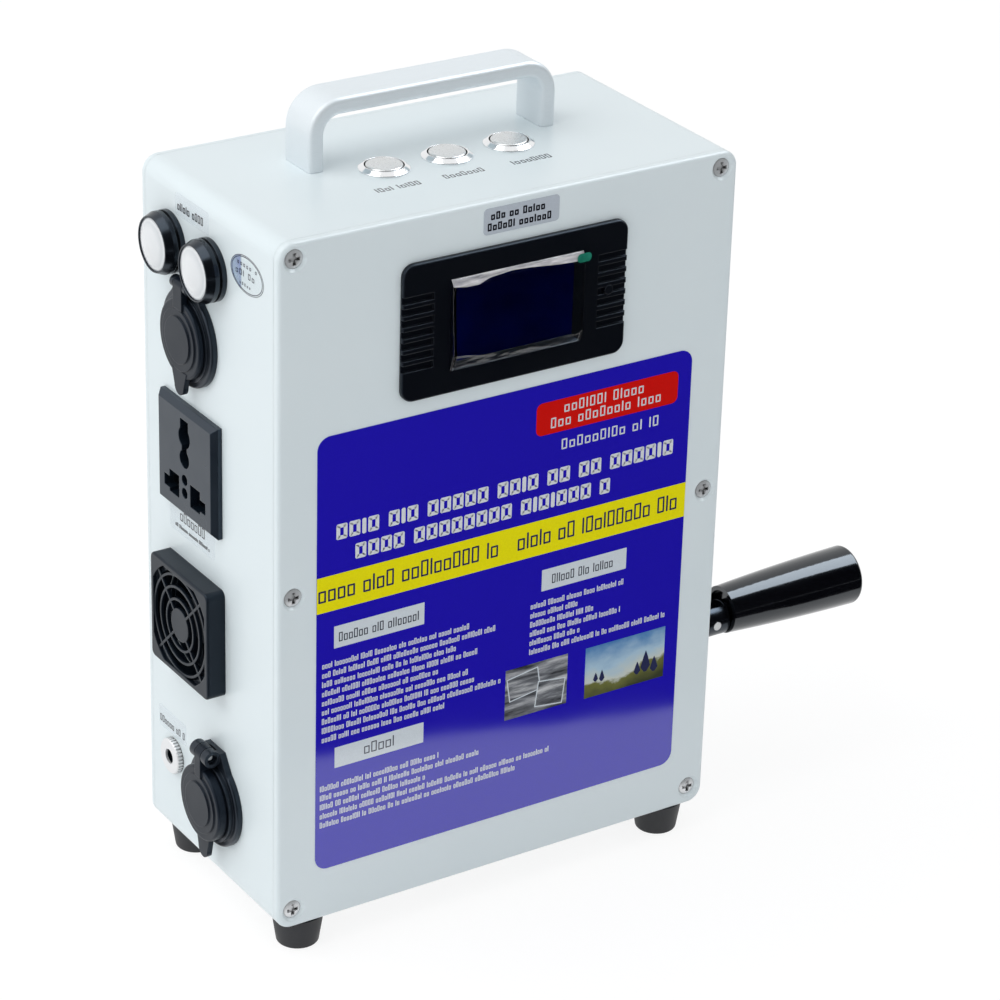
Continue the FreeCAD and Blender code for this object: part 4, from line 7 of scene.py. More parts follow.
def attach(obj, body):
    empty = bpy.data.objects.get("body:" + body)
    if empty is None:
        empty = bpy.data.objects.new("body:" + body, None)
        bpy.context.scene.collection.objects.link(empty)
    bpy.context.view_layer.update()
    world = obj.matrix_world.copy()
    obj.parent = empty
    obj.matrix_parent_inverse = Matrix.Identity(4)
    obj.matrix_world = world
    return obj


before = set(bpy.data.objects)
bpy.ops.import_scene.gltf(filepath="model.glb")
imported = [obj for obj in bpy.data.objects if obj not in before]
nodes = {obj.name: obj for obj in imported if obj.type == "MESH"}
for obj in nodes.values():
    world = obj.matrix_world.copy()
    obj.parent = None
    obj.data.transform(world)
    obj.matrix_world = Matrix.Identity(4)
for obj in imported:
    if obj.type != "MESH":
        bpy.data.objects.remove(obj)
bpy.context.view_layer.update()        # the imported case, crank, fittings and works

mm = 0.001


# small helpers for shaping thin things and laying them on the case

facings = {        # the turn in degrees and the way outward
    "front": ((90, 0, 0), Vector((0, -1, 0))),
    "left": ((90, 0, -90), Vector((-1, 0, 0))),
    "top": ((0, 0, 0), Vector((0, 0, 1))),
}


def metres(values):
    return tuple(v * mm for v in values)


def radians(degrees):
    return [math.radians(a) for a in degrees]


def letGo():
    bpy.ops.object.select_all(action="DESELECT")


def takeUp(piece):
    letGo()
    piece.select_set(True)
    bpy.context.view_layer.objects.active = piece


def openAll():
    bpy.ops.object.mode_set(mode="EDIT")
    bpy.ops.mesh.select_all(action="SELECT")


def openFaces(piece, wanted):
    # edit mode with only the wanted faces picked
    takeUp(piece)
    bpy.ops.object.mode_set(mode="EDIT")
    bpy.ops.mesh.select_mode(type="FACE")
    bpy.ops.mesh.select_all(action="DESELECT")
    bpy.ops.object.mode_set(mode="OBJECT")
    for face in piece.data.polygons:
        face.select = wanted(face.normal)
    bpy.ops.object.mode_set(mode="EDIT")


def closeUp(piece):
    # back to object mode with every face turned outward
    bpy.ops.mesh.select_all(action="SELECT")
    bpy.ops.mesh.normals_make_consistent(inside=False)
    bpy.ops.object.mode_set(mode="OBJECT")
    return piece


def pullOut(way):
    bpy.ops.mesh.extrude_region_move(TRANSFORM_OT_translate={"value": way})


def cutMiddle(rim):
    # leaves only a rim of the picked face
    bpy.ops.mesh.inset(thickness=rim, depth=0)
    bpy.ops.mesh.delete(type="FACE")
    bpy.ops.mesh.select_all(action="SELECT")


def roundCorners(corner, steps):
    bpy.ops.mesh.bevel(offset=corner, offset_type="OFFSET", segments=steps, affect="VERTICES")
    bpy.ops.mesh.select_all(action="SELECT")


def applyAll(piece):
    takeUp(piece)
    for modifier in list(piece.modifiers):
        bpy.ops.object.modifier_apply(modifier=modifier.name)


def nameFlat(name, stretch):
    # the new flat shape, stretched and with its place in its mesh
    flat = bpy.context.object
    flat.name = name
    flat.scale = (*stretch, 1)
    bpy.ops.object.transform_apply(location=True, rotation=True, scale=True)
    return flat


def startSheet(name, middle, size, facing):
    letGo()
    bpy.ops.mesh.primitive_plane_add(size=1, location=middle, rotation=radians(facings[facing][0]))
    return nameFlat(name, size)


def startDisc(name, middle, radius, points, facing, stretch=(1, 1)):
    letGo()
    bpy.ops.mesh.primitive_circle_add(vertices=points, radius=radius, fill_type="NGON",
                                      location=middle, rotation=radians(facings[facing][0]))
    return nameFlat(name, stretch)


cornerSteps = 4        # on a plate's rounded corner


def thinPlate(name, middle, size, thick, corner, facing):
    plate = startSheet(name, middle, size, facing)
    openAll()
    if corner:
        roundCorners(corner, cornerSteps)
    pullOut(facings[facing][1] * thick)
    return closeUp(plate)


def spanOf(edges, level):
    # middle and size of (left, right, foot, head) in mm, on the front
    left, right, foot, head = metres(edges)
    return ((left + right) / 2, level, (foot + head) / 2), (right - left, head - foot)


def joinUp(name, pieces):
    letGo()
    for piece in pieces:
        piece.select_set(True)
    bpy.context.view_layer.objects.active = pieces[0]
    if len(pieces) > 1:
        bpy.ops.object.join()
    pieces[0].name = name
    return pieces[0]


def copyTo(pattern, shift):
    copy = pattern.copy()
    copy.data = pattern.data.copy()
    bpy.context.collection.objects.link(copy)
    copy.data.transform(Matrix.Translation(shift))
    return copy


def settle(piece, finish=None, body="case"):
    if finish:
        piece.data.materials.clear()
        piece.data.materials.append(finish)
    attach(piece, body)
    return piece


# small helpers for finishes

noiseSpan = (0.3, 0.7)        # most of a noise lies between these
edgeSamples = 6
hollowSamples = 8


def newFinish(name, colour, roughness, metal=0.0):
    finish = bpy.data.materials.new(name)
    finish.use_nodes = True
    setOn(finish, Base_Color=(*colour, 1), Roughness=roughness, Metallic=metal)
    return finish


def setOn(finish, **values):
    shader = finish.node_tree.nodes["Principled BSDF"]
    for name, value in values.items():
        shader.inputs[name.replace("_", " ")].default_value = value


def feed(finish, output, socket):
    shader = finish.node_tree.nodes["Principled BSDF"]
    finish.node_tree.links.new(output, shader.inputs[socket])


def place(finish):
    # the place on the object, in metres
    return finish.node_tree.nodes.new("ShaderNodeTexCoord").outputs["Object"]


def spots(finish, scale, detail=3.0, rough=0.5, stretch=(1, 1, 1), turn=(0, 0, 0)):
    tree = finish.node_tree
    fit = tree.nodes.new("ShaderNodeMapping")
    fit.inputs["Scale"].default_value = stretch
    fit.inputs["Rotation"].default_value = radians(turn)
    noise = tree.nodes.new("ShaderNodeTexNoise")
    for name, value in (("Scale", scale), ("Detail", detail), ("Roughness", rough)):
        noise.inputs[name].default_value = value
    tree.links.new(place(finish), fit.inputs["Vector"])
    tree.links.new(fit.outputs["Vector"], noise.inputs["Vector"])
    return noise.outputs[0]


def grains(finish, scale):
    cells = finish.node_tree.nodes.new("ShaderNodeTexVoronoi")
    cells.inputs["Scale"].default_value = scale
    finish.node_tree.links.new(place(finish), cells.inputs["Vector"])
    return cells.outputs[0]


def along(finish, axis):
    apart = finish.node_tree.nodes.new("ShaderNodeSeparateXYZ")
    finish.node_tree.links.new(place(finish), apart.inputs["Vector"])
    return apart.outputs[axis]


def reach(finish, fac, low, high, first, last):
    fit = finish.node_tree.nodes.new("ShaderNodeMapRange")
    for name, value in (("From Min", low), ("From Max", high), ("To Min", first), ("To Max", last)):
        fit.inputs[name].default_value = value
    finish.node_tree.links.new(fac, fit.inputs["Value"])
    return fit.outputs[0]


def sums(finish, first, second, how="ADD"):
    node = finish.node_tree.nodes.new("ShaderNodeMath")
    node.operation = how
    for k, value in enumerate((first, second)):
        if isinstance(value, (int, float)):
            node.inputs[k].default_value = value
        else:
            finish.node_tree.links.new(value, node.inputs[k])
    return node.outputs[0]


def softEdge(finish, radius):
    soft = finish.node_tree.nodes.new("ShaderNodeBevel")
    soft.samples = edgeSamples
    soft.inputs["Radius"].default_value = radius
    return soft.outputs["Normal"]


def edgeRub(finish, radius, low=0.02, high=0.25):
    # 1 on an edge, 0 on a flat
    tree = finish.node_tree
    flat = tree.nodes.new("ShaderNodeNewGeometry")
    dot = tree.nodes.new("ShaderNodeVectorMath")
    dot.operation = "DOT_PRODUCT"
    tree.links.new(softEdge(finish, radius), dot.inputs[0])
    tree.links.new(flat.outputs["Normal"], dot.inputs[1])
    return reach(finish, dot.outputs["Value"], 1 - low, 1 - high, 0, 1)


def hollow(finish, distance):
    # 1 in the open, down to 0 in a narrow recess: the mask for painted shade
    shade = finish.node_tree.nodes.new("ShaderNodeAmbientOcclusion")
    shade.samples = hollowSamples
    shade.inputs["Distance"].default_value = distance
    return shade.outputs["AO"]


def dents(finish, height, strength, depth, under=None):
    tree = finish.node_tree
    bump = tree.nodes.new("ShaderNodeBump")
    bump.inputs["Strength"].default_value = strength
    bump.inputs["Distance"].default_value = depth
    tree.links.new(height, bump.inputs["Height"])
    if under:
        tree.links.new(under, bump.inputs["Normal"])
    return bump.outputs["Normal"]


def colourBy(finish, fac, *stops):
    ramp = finish.node_tree.nodes.new("ShaderNodeValToRGB")
    marks = ramp.color_ramp.elements
    for k, (spot, colour) in enumerate(stops):
        mark = marks[k] if k < 2 else marks.new(spot)
        mark.position = spot
        mark.color = (*colour, 1)
    finish.node_tree.links.new(fac, ramp.inputs["Fac"])
    feed(finish, ramp.outputs["Color"], "Base Color")


def roughBy(finish, noise, first, last):
    feed(finish, reach(finish, noise, *noiseSpan, first, last), "Roughness")


def bumpBy(finish, height, strength, depth, edge=0.0):
    under = softEdge(finish, edge) if edge else None
    feed(finish, dents(finish, height, strength, depth, under), "Normal")


plastic = {"sheen": (0.64, 0.79, 0.98, 1), "clouds": 60, "glossSpan": (-0.05, 0.06),
           "rubs": 220, "rubSpan": (0.35, 0.65, 0.3, 1.0), "bump": 0.35}


def moulded(name, colour, roughness, grain, depth=0.02 * mm, edge=0.4 * mm, lift=0.02, shine=0.5):
    # moulded plastic: fine spark grain, uneven gloss, edges a little lighter
    finish = newFinish(name, colour, roughness)
    setOn(finish, Specular_IOR_Level=shine, Specular_Tint=plastic["sheen"])
    less, more = plastic["glossSpan"]
    roughBy(finish, spots(finish, plastic["clouds"], 4.0), roughness + less, roughness + more)
    patchy = reach(finish, spots(finish, plastic["rubs"]), *plastic["rubSpan"])
    rub = sums(finish, edgeRub(finish, edge), patchy, "MULTIPLY")
    colourBy(finish, rub, (0.0, colour), (1.0, tuple(c + lift for c in colour)))
    bumpBy(finish, spots(finish, grain, 2.0), plastic["bump"], depth, edge)
    return finish


drawn = {"lines": 900, "glossSpan": (-0.06, 0.1), "dark": 0.88, "bump": 0.25,
         "depth": 0.02 * mm, "edge": 0.2 * mm}


def brushed(name, colour, roughness, stretch):
    # metal with fine drawn lines in one direction
    finish = newFinish(name, colour, roughness, 1.0)
    lines = spots(finish, drawn["lines"], 3.0, 0.6, stretch)
    less, more = drawn["glossSpan"]
    roughBy(finish, lines, roughness + less, roughness + more)
    darker = tuple(c * drawn["dark"] for c in colour)
    colourBy(finish, lines, (0.35, darker), (0.65, colour))
    bumpBy(finish, lines, drawn["bump"], drawn["depth"], drawn["edge"])
    return finish


# finishes

paintCoat = {"colour": (0.785, 0.862, 0.885), "dusty": (0.985, 0.99, 0.993), "roughness": 0.3,
             "dust": 26, "peel": 420, "peelDepth": 0.03 * mm, "edge": 0.6 * mm}


def casePaint():
    finish = newFinish("casePaint", paintCoat["colour"], paintCoat["roughness"])
    dust = spots(finish, paintCoat["dust"], 2.0)
    cooler = tuple(c * k for c, k in zip(paintCoat["colour"], paintCoat["dusty"]))
    colourBy(finish, dust, (0.35, cooler), (0.65, paintCoat["colour"]))
    roughBy(finish, dust, paintCoat["roughness"] - 0.02, paintCoat["roughness"] + 0.03)
    peel = spots(finish, paintCoat["peel"], 2.0)
    bumpBy(finish, peel, 0.2, paintCoat["peelDepth"], paintCoat["edge"])
    return finish


def zincPlate():
    # bright plating, with painted shade that darkens the screws' recesses and the rim by the dish
    # wall
    finish = newFinish("zincPlate", (0.78, 0.79, 0.80), 0.32, 0.5)
    flecks = spots(finish, 700)
    uneven = reach(finish, flecks, *noiseSpan, -0.06, 0.06)
    # painted shade: the occlusion mask takes recesses down to near black, and flecks add uneven tone
    recessShadeAndFlecks = sums(finish, hollow(finish, 1.1 * mm), uneven)
    colourBy(finish, recessShadeAndFlecks, (0.3, (0.012, 0.011, 0.010)), (0.62, (0.42, 0.42, 0.42)),
             (0.86, (0.82, 0.83, 0.84)))
    roughBy(finish, flecks, 0.32, 0.46)
    bumpBy(finish, flecks, 0.1, 0.02 * mm, 0.15 * mm)
    return finish


def footRubber():
    finish = newFinish("footRubber", (0.015, 0.016, 0.019), 0.55)
    dust = spots(finish, 90, 5.0)
    colourBy(finish, dust, (0.4, (0.013, 0.014, 0.017)), (0.75, (0.034, 0.035, 0.04)))
    roughBy(finish, dust, 0.46, 0.66)
    bumpBy(finish, grains(finish, 900), 0.25, 0.05 * mm, 0.5 * mm)
    return finish


def handleMetal():
    finish = newFinish("handleMetal", (0.78, 0.83, 0.86), 0.42, 0.2)
    lines = spots(finish, 300, 3.0, 0.6, (1, 12, 12))
    colourBy(finish, lines, (0.3, (0.76, 0.815, 0.845)), (0.7, (0.80, 0.85, 0.88)))
    roughBy(finish, lines, 0.38, 0.48)
    bumpBy(finish, spots(finish, 2600, 2.0), 0.3, 0.02 * mm, 0.8 * mm)
    return finish


film = {"blue": (0.016, 0.0075, 0.50), "grey": (0.54, 0.59, 0.655), "roughness": 0.1,
        "coatRoughness": 0.1, "shine": 0.6, "dotDark": 0.93,
        "wave": 17, "waveDepth": 0.42 * mm, "dots": 2400, "dotDepth": 0.01 * mm}


def labelFilm(name, colour, gloss=1.0):
    # printed vinyl under a clear film that doesn't lie quite flat
    finish = newFinish(name, colour, film["roughness"])
    setOn(finish, Coat_Weight=gloss, Coat_Roughness=film["coatRoughness"],
          Specular_IOR_Level=film["shine"])
    wave = spots(finish, film["wave"], 1.0, 0.3, (1, 1, 1.6))
    dots = spots(finish, film["dots"], 2.0)
    deeper = tuple(c * film["dotDark"] for c in colour)
    colourBy(finish, dots, (0.3, deeper), (0.7, colour))
    feed(finish, dents(finish, wave, 1.0, film["waveDepth"]), "Coat Normal")
    fine = dents(finish, dots, 0.1, film["dotDepth"])
    feed(finish, dents(finish, wave, 1.0, film["waveDepth"], fine), "Normal")
    return finish


def displayGlass():
    finish = newFinish("displayGlass", (0.0006, 0.005, 0.13), 0.08)
    setOn(finish, Specular_IOR_Level=0.3)
    haze = spots(finish, 120, 4.0)
    colourBy(finish, haze, (0.3, (0.0005, 0.004, 0.11)), (0.7, (0.0008, 0.006, 0.15)))
    roughBy(finish, haze, 0.04, 0.1)
    return finish


def brightRing():
    finish = newFinish("brightRing", (0.83, 0.84, 0.85), 0.08, 1.0)
    swirl = spots(finish, 400)
    roughBy(finish, swirl, 0.06, 0.16)
    bumpBy(finish, swirl, 0.1, 0.01 * mm, 0.3 * mm)
    return finish


def satinCap():
    finish = newFinish("satinCap", (0.80, 0.81, 0.81), 0.34, 0.8)
    turned = spots(finish, 1600, 3.0, 0.6, (1, 1, 0.1))
    colourBy(finish, turned, (0.3, (0.69, 0.70, 0.70)), (0.7, (0.73, 0.74, 0.74)))
    roughBy(finish, turned, 0.24, 0.36)
    bumpBy(finish, turned, 0.06, 0.01 * mm, 0.3 * mm)
    return finish


lens = {
    "radius": 9.3 * mm, "milk": 2 * mm,
    # colours from the middle out to the rim: the lighter middle and the darker band at 0.82 are
    # painted shading
    "rings": [(0.0, (0.79, 0.81, 0.825)), (0.6, (0.77, 0.79, 0.805)), (0.82, (0.66, 0.69, 0.71)),
              (0.9, (0.78, 0.80, 0.815)), (1.0, (0.38, 0.41, 0.44))],
}


def lampLens(name):
    # frosted lens with painted shading: lightest in the middle, a painted darker band towards the
    # edge, and a grey rim for the clear edge
    finish = newFinish(name, (0.80, 0.83, 0.85), 0.34)
    setOn(finish, Coat_Weight=0.9, Coat_Roughness=0.06, Subsurface_Weight=0.3)
    setOn(finish, Subsurface_Radius=(lens["milk"],) * 3)
    corners = nodes[name].bound_box
    y, z = [sum(corner[k] for corner in corners) / len(corners) for k in (1, 2)]
    aside = sums(finish, sums(finish, along(finish, 1), -y), 2, "POWER")
    above = sums(finish, sums(finish, along(finish, 2), -z), 2, "POWER")
    away = sums(finish, sums(finish, aside, above), 0.5, "POWER")
    ring = reach(finish, away, 0.0, lens["radius"], 0.0, 1.0)
    cloud = reach(finish, spots(finish, 300), *noiseSpan, -0.02, 0.02)
    # painted shading by distance from the lens's middle
    colourBy(finish, sums(finish, ring, cloud), *lens["rings"])
    bumpBy(finish, spots(finish, 1800), 0.2, 0.02 * mm)
    return finish


def circuitBoard():
    finish = newFinish("circuitBoard", (0.01, 0.10, 0.04), 0.4)
    setOn(finish, Coat_Weight=0.4)
    tracks = finish.node_tree.nodes.new("ShaderNodeTexBrick")
    for name, value in (("Scale", 160), ("Mortar Size", 0.06), ("Color1", (0.008, 0.09, 0.035, 1)),
                        ("Color2", (0.012, 0.13, 0.05, 1)), ("Mortar", (0.03, 0.22, 0.08, 1))):
        tracks.inputs[name].default_value = value
    finish.node_tree.links.new(place(finish), tracks.inputs["Vector"])
    feed(finish, tracks.outputs["Color"], "Base Color")
    bumpBy(finish, tracks.outputs["Fac"], 0.3, 0.04 * mm)
    return finish


def gripGloss():
    # gloss black turned grip: lacquer with faint ripples
    finish = newFinish("gripGloss", (0.002, 0.0022, 0.004), 0.17)
    setOn(finish, Coat_Weight=0.4, Coat_Roughness=0.08, Specular_Tint=(0.80, 0.90, 1.0, 1))
    ripple = spots(finish, 70, 3.0, 0.5, (0.4, 1, 1))
    colourBy(finish, ripple, (0.3, (0.0015, 0.0016, 0.003)), (0.7, (0.004, 0.0042, 0.006)))
    roughBy(finish, ripple, 0.09, 0.16)
    bumpBy(finish, ripple, 0.3, 0.08 * mm)
    return finish


def cellWrap():
    finish = newFinish("cellWrap", (0.02, 0.12, 0.42), 0.3)
    sleeve = spots(finish, 140, 3.0, 0.5, (1, 0.2, 1))
    colourBy(finish, sleeve, (0.3, (0.015, 0.10, 0.36)), (0.7, (0.03, 0.15, 0.5)))
    bumpBy(finish, sleeve, 0.3, 0.05 * mm)
    return finish


finishes = {
    "case_paint": casePaint(),
    "zinc_screw": zincPlate(),
    "foot_rubber": footRubber(),
    "handle_metal": handleMetal(),
    "label_blue": labelFilm("labelBlue", film["blue"]),
    "label_grey": labelFilm("labelGrey", film["grey"], 0.4),
    "bezel_black": moulded("bezelBlack", (0.003, 0.0036, 0.0075), 0.38, 1400, edge=0.6 * mm),
    "display_dark": displayGlass(),
    "switch_metal": brightRing(),
    "button_metal": satinCap(),
    "lamp_black": moulded("lampBlack", (0.004, 0.005, 0.007), 0.22, 1200, shine=0.6),
    "circuit_board": circuitBoard(),
    "socket_black": moulded("socketBlack", (0.005, 0.007, 0.011), 0.32, 1500, shine=0.55),
    "cap_black": moulded("capBlack", (0.006, 0.009, 0.015), 0.34, 1500, edge=0.5 * mm, shine=0.26),
    "contact_brass": brushed("contactBrass", (0.72, 0.52, 0.22), 0.3, (1, 1, 0.1)),
    "outlet_grey": moulded("outletGrey", (0.005, 0.009, 0.015), 0.3, 1100, shine=0.7),
    "fan_black": moulded("fanBlack", (0.005, 0.008, 0.013), 0.32, 1300,
                         depth=0.03 * mm, edge=0.5 * mm, shine=0.34),
    "crank_black": moulded("crankBlack", (0.004, 0.004, 0.006), 0.24, 900,
                           depth=0.03 * mm, shine=0.6),
    "grip_black": gripGloss(),
    "shaft_steel": brushed("shaftSteel", (0.56, 0.57, 0.58), 0.28, (0.1, 1, 1)),
    "plate_metal": brushed("plateMetal", (0.62, 0.63, 0.64), 0.34, (1, 0.1, 1)),
    "cell_wrap": cellWrap(),
}
lensFinishes = {name: lampLens(name) for name in ("front_lamp_lens", "rear_lamp_lens")}
for name, node in nodes.items():
    slotName = node.data.materials[0].name.split(".")[0]
    node.data.materials.clear()
    node.data.materials.append(lensFinishes.get(name) or finishes[slotName])
print("finishes:", len(finishes) + len(lensFinishes), "on", len(nodes), "nodes")


# printed marks: rows of plain letter-sized blocks, no lettering

markShape = {
    "thick": 0.02 * mm,
    "corner": 0.3, "low": 0.72, "slim": 1.1,        # shares of the stroke, height and stroke
    "barUnder": 2.4,        # narrower than this many strokes is a plain bar
    "mix": (5, 3, 2),       # low frames, tall frames, narrow bars
    "firstWord": (3, 9), "nextWord": (2, 9), "wordGap": 1.2, "wordSpace": 0.5,
}
inks = {
    "white": labelFilm("inkWhite", (0.80, 0.83, 0.87), 0.5),
    "yellow": labelFilm("inkYellow", (0.97, 0.88, 0.004), 0.6),
    "red": labelFilm("inkRed", (0.72, 0.007, 0.004), 0.35),
    "paper": labelFilm("inkPaper", (0.72, 0.78, 0.83), 0.3),
    "navy": labelFilm("inkNavy", (0.03, 0.035, 0.10), 0.3),
    "grey": labelFilm("inkGrey", (0.055, 0.06, 0.085), 0.3),
    "black": labelFilm("inkBlack", (0.018, 0.019, 0.028), 0.3),
    "faint": labelFilm("inkFaint", (0.08, 0.085, 0.10), 0.2),
}


def markPattern(name, width, height, stroke, facing):
    # an open frame, or a plain bar where the stroke leaves no room inside
    pattern = startSheet(name, (0, 0, 0), (width, height), facing)
    openAll()
    roundCorners(min(width, height, stroke) * markShape["corner"], 1)
    if width > markShape["barUnder"] * stroke:
        cutMiddle(stroke)
    pullOut(facings[facing][1] * markShape["thick"])
    return closeUp(pattern)


def onFace(facing, across, up, level):
    # across runs to the right as one looks at that side
    if facing == "front":
        return Vector((across, level, up))
    if facing == "left":
        return Vector((level, -across, up))
    return Vector((across, up, level))


def markRows(name, marks, level, facing):
    # rows are (left, right, foot), letters are (tall, wide, stroke, gap), all in mm
    tall, wide, stroke, gap = metres(marks["letters"])
    sizes = {"low": (wide, tall * markShape["low"]), "high": (wide, tall),
             "slim": (stroke * markShape["slim"], tall)}
    shapes = [(markPattern(f"{name}.{kind}", *size, stroke, facing), *size)
              for kind, size in sizes.items()]
    dice = random.Random(marks["seed"])
    made = []
    for left, right, foot in map(metres, marks["rows"]):
        at, letters, inWord = left, dice.randint(*markShape["firstWord"]), 0
        while True:
            pattern, width, height = dice.choices(shapes, marks.get("mix", markShape["mix"]))[0]
            if at + width > right:
                break
            made.append(copyTo(pattern, onFace(facing, at + width / 2, foot + height / 2, level)))
            at += width + gap
            inWord += 1
            if inWord == letters:
                at = at + gap * markShape["wordGap"] + wide * markShape["wordSpace"]
                letters, inWord = dice.randint(*markShape["nextWord"]), 0
    for shape in shapes:
        bpy.data.objects.remove(shape[0])
    return settle(joinUp(name, made), inks[marks["ink"]])


# front label print

labelPrint = {
    "level": -47.2 * mm, "thick": 0.03 * mm, "sink": 0.005 * mm,
    "plates": {      # edges and corner in mm, and the ink
        "labelBand": ((-76.1, 75.9, 122.0, 135.6), 0, "yellow"),
        "labelTag": ((10.8, 70.3, 168.2, 180.6), 2.4, "red"),
        "labelBox1": ((-69.2, -33.1, 107.2, 115.7), 0.2, "paper"),
        "labelBox2": ((15.4, 51.4, 107.2, 115.6), 0.2, "paper"),
        "labelBox3": ((-68.6, -32.5, 60.0, 68.1), 0.2, "paper"),
    },
}
smallPrint = [       # each block's line ends
    {"left": -73.8, "top": 100.3, "pitch": 3.62,
     "ends": [-14.5, -3.1, -19.7, -9.7, -26.4, -14.4, -11.1, -0.2, -23.4]},
    {"left": 11.1, "top": 101.1, "pitch": 3.64, "ends": [51.2, 31.9, 38.8, 49.7, 33.1, 70.3]},
    {"left": -74.4, "top": 51.9, "pitch": 3.65, "ends": [-24.9, -9.2, -31.4, 21.9, 8.3]},
]
labelMarks = {
    "labelTitle": {"ink": "white", "letters": (5.8, 4.3, 1.45, 0.75), "seed": 3, "mix": (0, 9, 1),
                   "rows": [(-68.6, 70.1, 148.4), (-61.1, 46.9, 139.5)]},
    "labelTagMarks": {"ink": "white", "letters": (3.9, 2.1, 0.5, 0.95), "seed": 5, "raised": True,
                      "rows": [(22.3, 59.4, 175.2), (16.9, 63.6, 170.2)]},
    "labelSmallHead": {"ink": "white", "letters": (4.0, 2.3, 0.55, 0.95), "seed": 6,
                       "rows": [(21.7, 64.2, 161.1)]},
    "labelBandMarks": {"ink": "navy", "letters": (6.3, 3.0, 0.7, 0.8), "seed": 8, "raised": True,
                       "rows": [(-75.5, -2.0, 125.9), (4.7, 72.9, 125.9)]},
    "labelHeadMarks": {"ink": "grey", "letters": (3.6, 1.5, 0.4, 0.5), "seed": 9, "raised": True,
                       "rows": [(-67.3, -35.1, 109.4), (19.7, 47.1, 109.4)]},
    "labelNoteMarks": {"ink": "grey", "letters": (4.2, 2.2, 0.42, 0.7), "seed": 12, "raised": True,
                       "rows": [(-56.7, -44.5, 62.2)]},
    "labelLines": {"ink": "white", "letters": (2.3, 0.95, 0.36, 0.24), "seed": 21, "mix": (5, 2, 2),
                   "rows": [(block["left"], end, block["top"] - block["pitch"] * k)
                            for block in smallPrint for k, end in enumerate(block["ends"])]},
}


def printFrontLabel():
    level, thick, sink = labelPrint["level"], labelPrint["thick"], labelPrint["sink"]
    for name, (edges, corner, ink) in labelPrint["plates"].items():
        middle, size = spanOf(edges, level + sink)
        plate = thinPlate(name, middle, size, thick + sink, corner * mm, "front")
        settle(plate, inks[ink])
    for name, marks in labelMarks.items():
        under = level - thick if marks.get("raised") else level
        markRows(name, marks, under, "front")
    print("label print:", len(labelPrint["plates"]), "plates and", len(labelMarks), "kinds of marks")


printFrontLabel()


# two plain pictures on the label: grey cards, and firs on a hill

cardPicture = {
    "middle": (14.6, 69.0), "size": (26.4, 20.2), "border": 0.45 * mm,
    "field": 0.3,    # faces nearer the middle than this share of the shorter side
    "cards": [       # place from the middle, size, turn, the bands' turn, and how far it stands out
        {"at": (-5.4, 2.6), "size": (13.5, 9.6), "turn": 9, "bands": 40, "proud": 1.0},
        {"at": (6.0, -3.6), "size": (12.0, 10.4), "turn": -7, "bands": -30, "proud": 1.4},
    ],
}
hillPicture = {
    "middle": (52.9, 68.6), "size": (34.7, 20.6), "slope": (36.0, 71.0), "slopeRise": (0.10, -0.04),
    "trees": [       # x and foot from the middle, height, width
        (9.2, -6.2, 8.6, 4.2), (13.0, -7.0, 6.2, 3.4), (5.6, -6.4, 5.2, 2.9),
        (-12.6, -4.4, 3.6, 2.2), (-9.9, -4.9, 4.6, 2.4),
    ],
    "outline": (0.28, 1.0, 0.72, 0.42, 0.04),        # a fir's width from foot to tip
    "treeThick": 0.02 * mm,
}


def bandedGrey(name, turn, pale):
    finish = newFinish(name, (0.3, 0.3, 0.32), 0.3)
    setOn(finish, Coat_Weight=0.4, Coat_Roughness=0.12)
    bands = spots(finish, 130, 5.0, 0.6, (0.35, 1, 2.4), (0, turn, 0))
    colourBy(finish, bands, (0.36, (0.02, 0.022, 0.028)), (0.5, (0.17, 0.18, 0.2)), (0.64, pale))
    return finish


def skyAndHill():
    finish = newFinish("skyAndHill", (0.2, 0.4, 0.6), 0.3)
    setOn(finish, Coat_Weight=0.4, Coat_Roughness=0.12)
    tall = hillPicture["size"][1]
    foot = (hillPicture["middle"][1] - tall / 2) * mm
    up = reach(finish, along(finish, 2), foot, foot + tall * mm, 0, 1)
    drift = reach(finish, spots(finish, 90, 5.0, 0.55, (1, 1, 1.6)), *noiseSpan, -0.13, 0.13)
    hill = reach(finish, along(finish, 0), *metres(hillPicture["slope"]), *hillPicture["slopeRise"])
    height = sums(finish, sums(finish, up, drift), hill)
    colourBy(finish, height, (0.0, (0.035, 0.045, 0.012)), (0.30, (0.16, 0.17, 0.03)),
             (0.36, (0.62, 0.66, 0.60)), (0.62, (0.42, 0.60, 0.74)), (1.0, (0.06, 0.22, 0.50)))
    return finish


def makeCards():
    level, thick = labelPrint["level"], labelPrint["thick"]
    x, z = cardPicture["middle"]
    back = thinPlate("pictureCardBack", (x * mm, level, z * mm), metres(cardPicture["size"]),
                     thick, 0, "front")
    settle(back, bandedGrey("cardGreyBack", 20, (0.5, 0.51, 0.53)))
    for k, look in enumerate(cardPicture["cards"]):
        dx, dz = look["at"]
        middle = Vector(((x + dx) * mm, level - thick, (z + dz) * mm))
        card = startSheet(f"pictureCard{k + 1}", middle, metres(look["size"]), "front")
        openAll()
        bpy.ops.transform.rotate(value=math.radians(look["turn"]), orient_axis="Y",
                                 center_override=middle)
        bpy.ops.mesh.inset(thickness=cardPicture["border"], depth=0)
        bpy.ops.mesh.select_all(action="SELECT")
        pullOut((0, -thick * look["proud"], 0))
        settle(closeUp(card), inks["paper"])
        grey = bandedGrey(f"cardGrey{k + 1}", look["bands"], (0.62, 0.63, 0.64))
        card.data.materials.append(grey)
        near = min(look["size"]) * mm * cardPicture["field"]
        for face in card.data.polygons:        # the field inside the border
            aside = Vector((face.center.x - middle.x, 0, face.center.z - middle.z))
            if face.normal.y < -0.5 and aside.length < near:
                face.material_index = 1


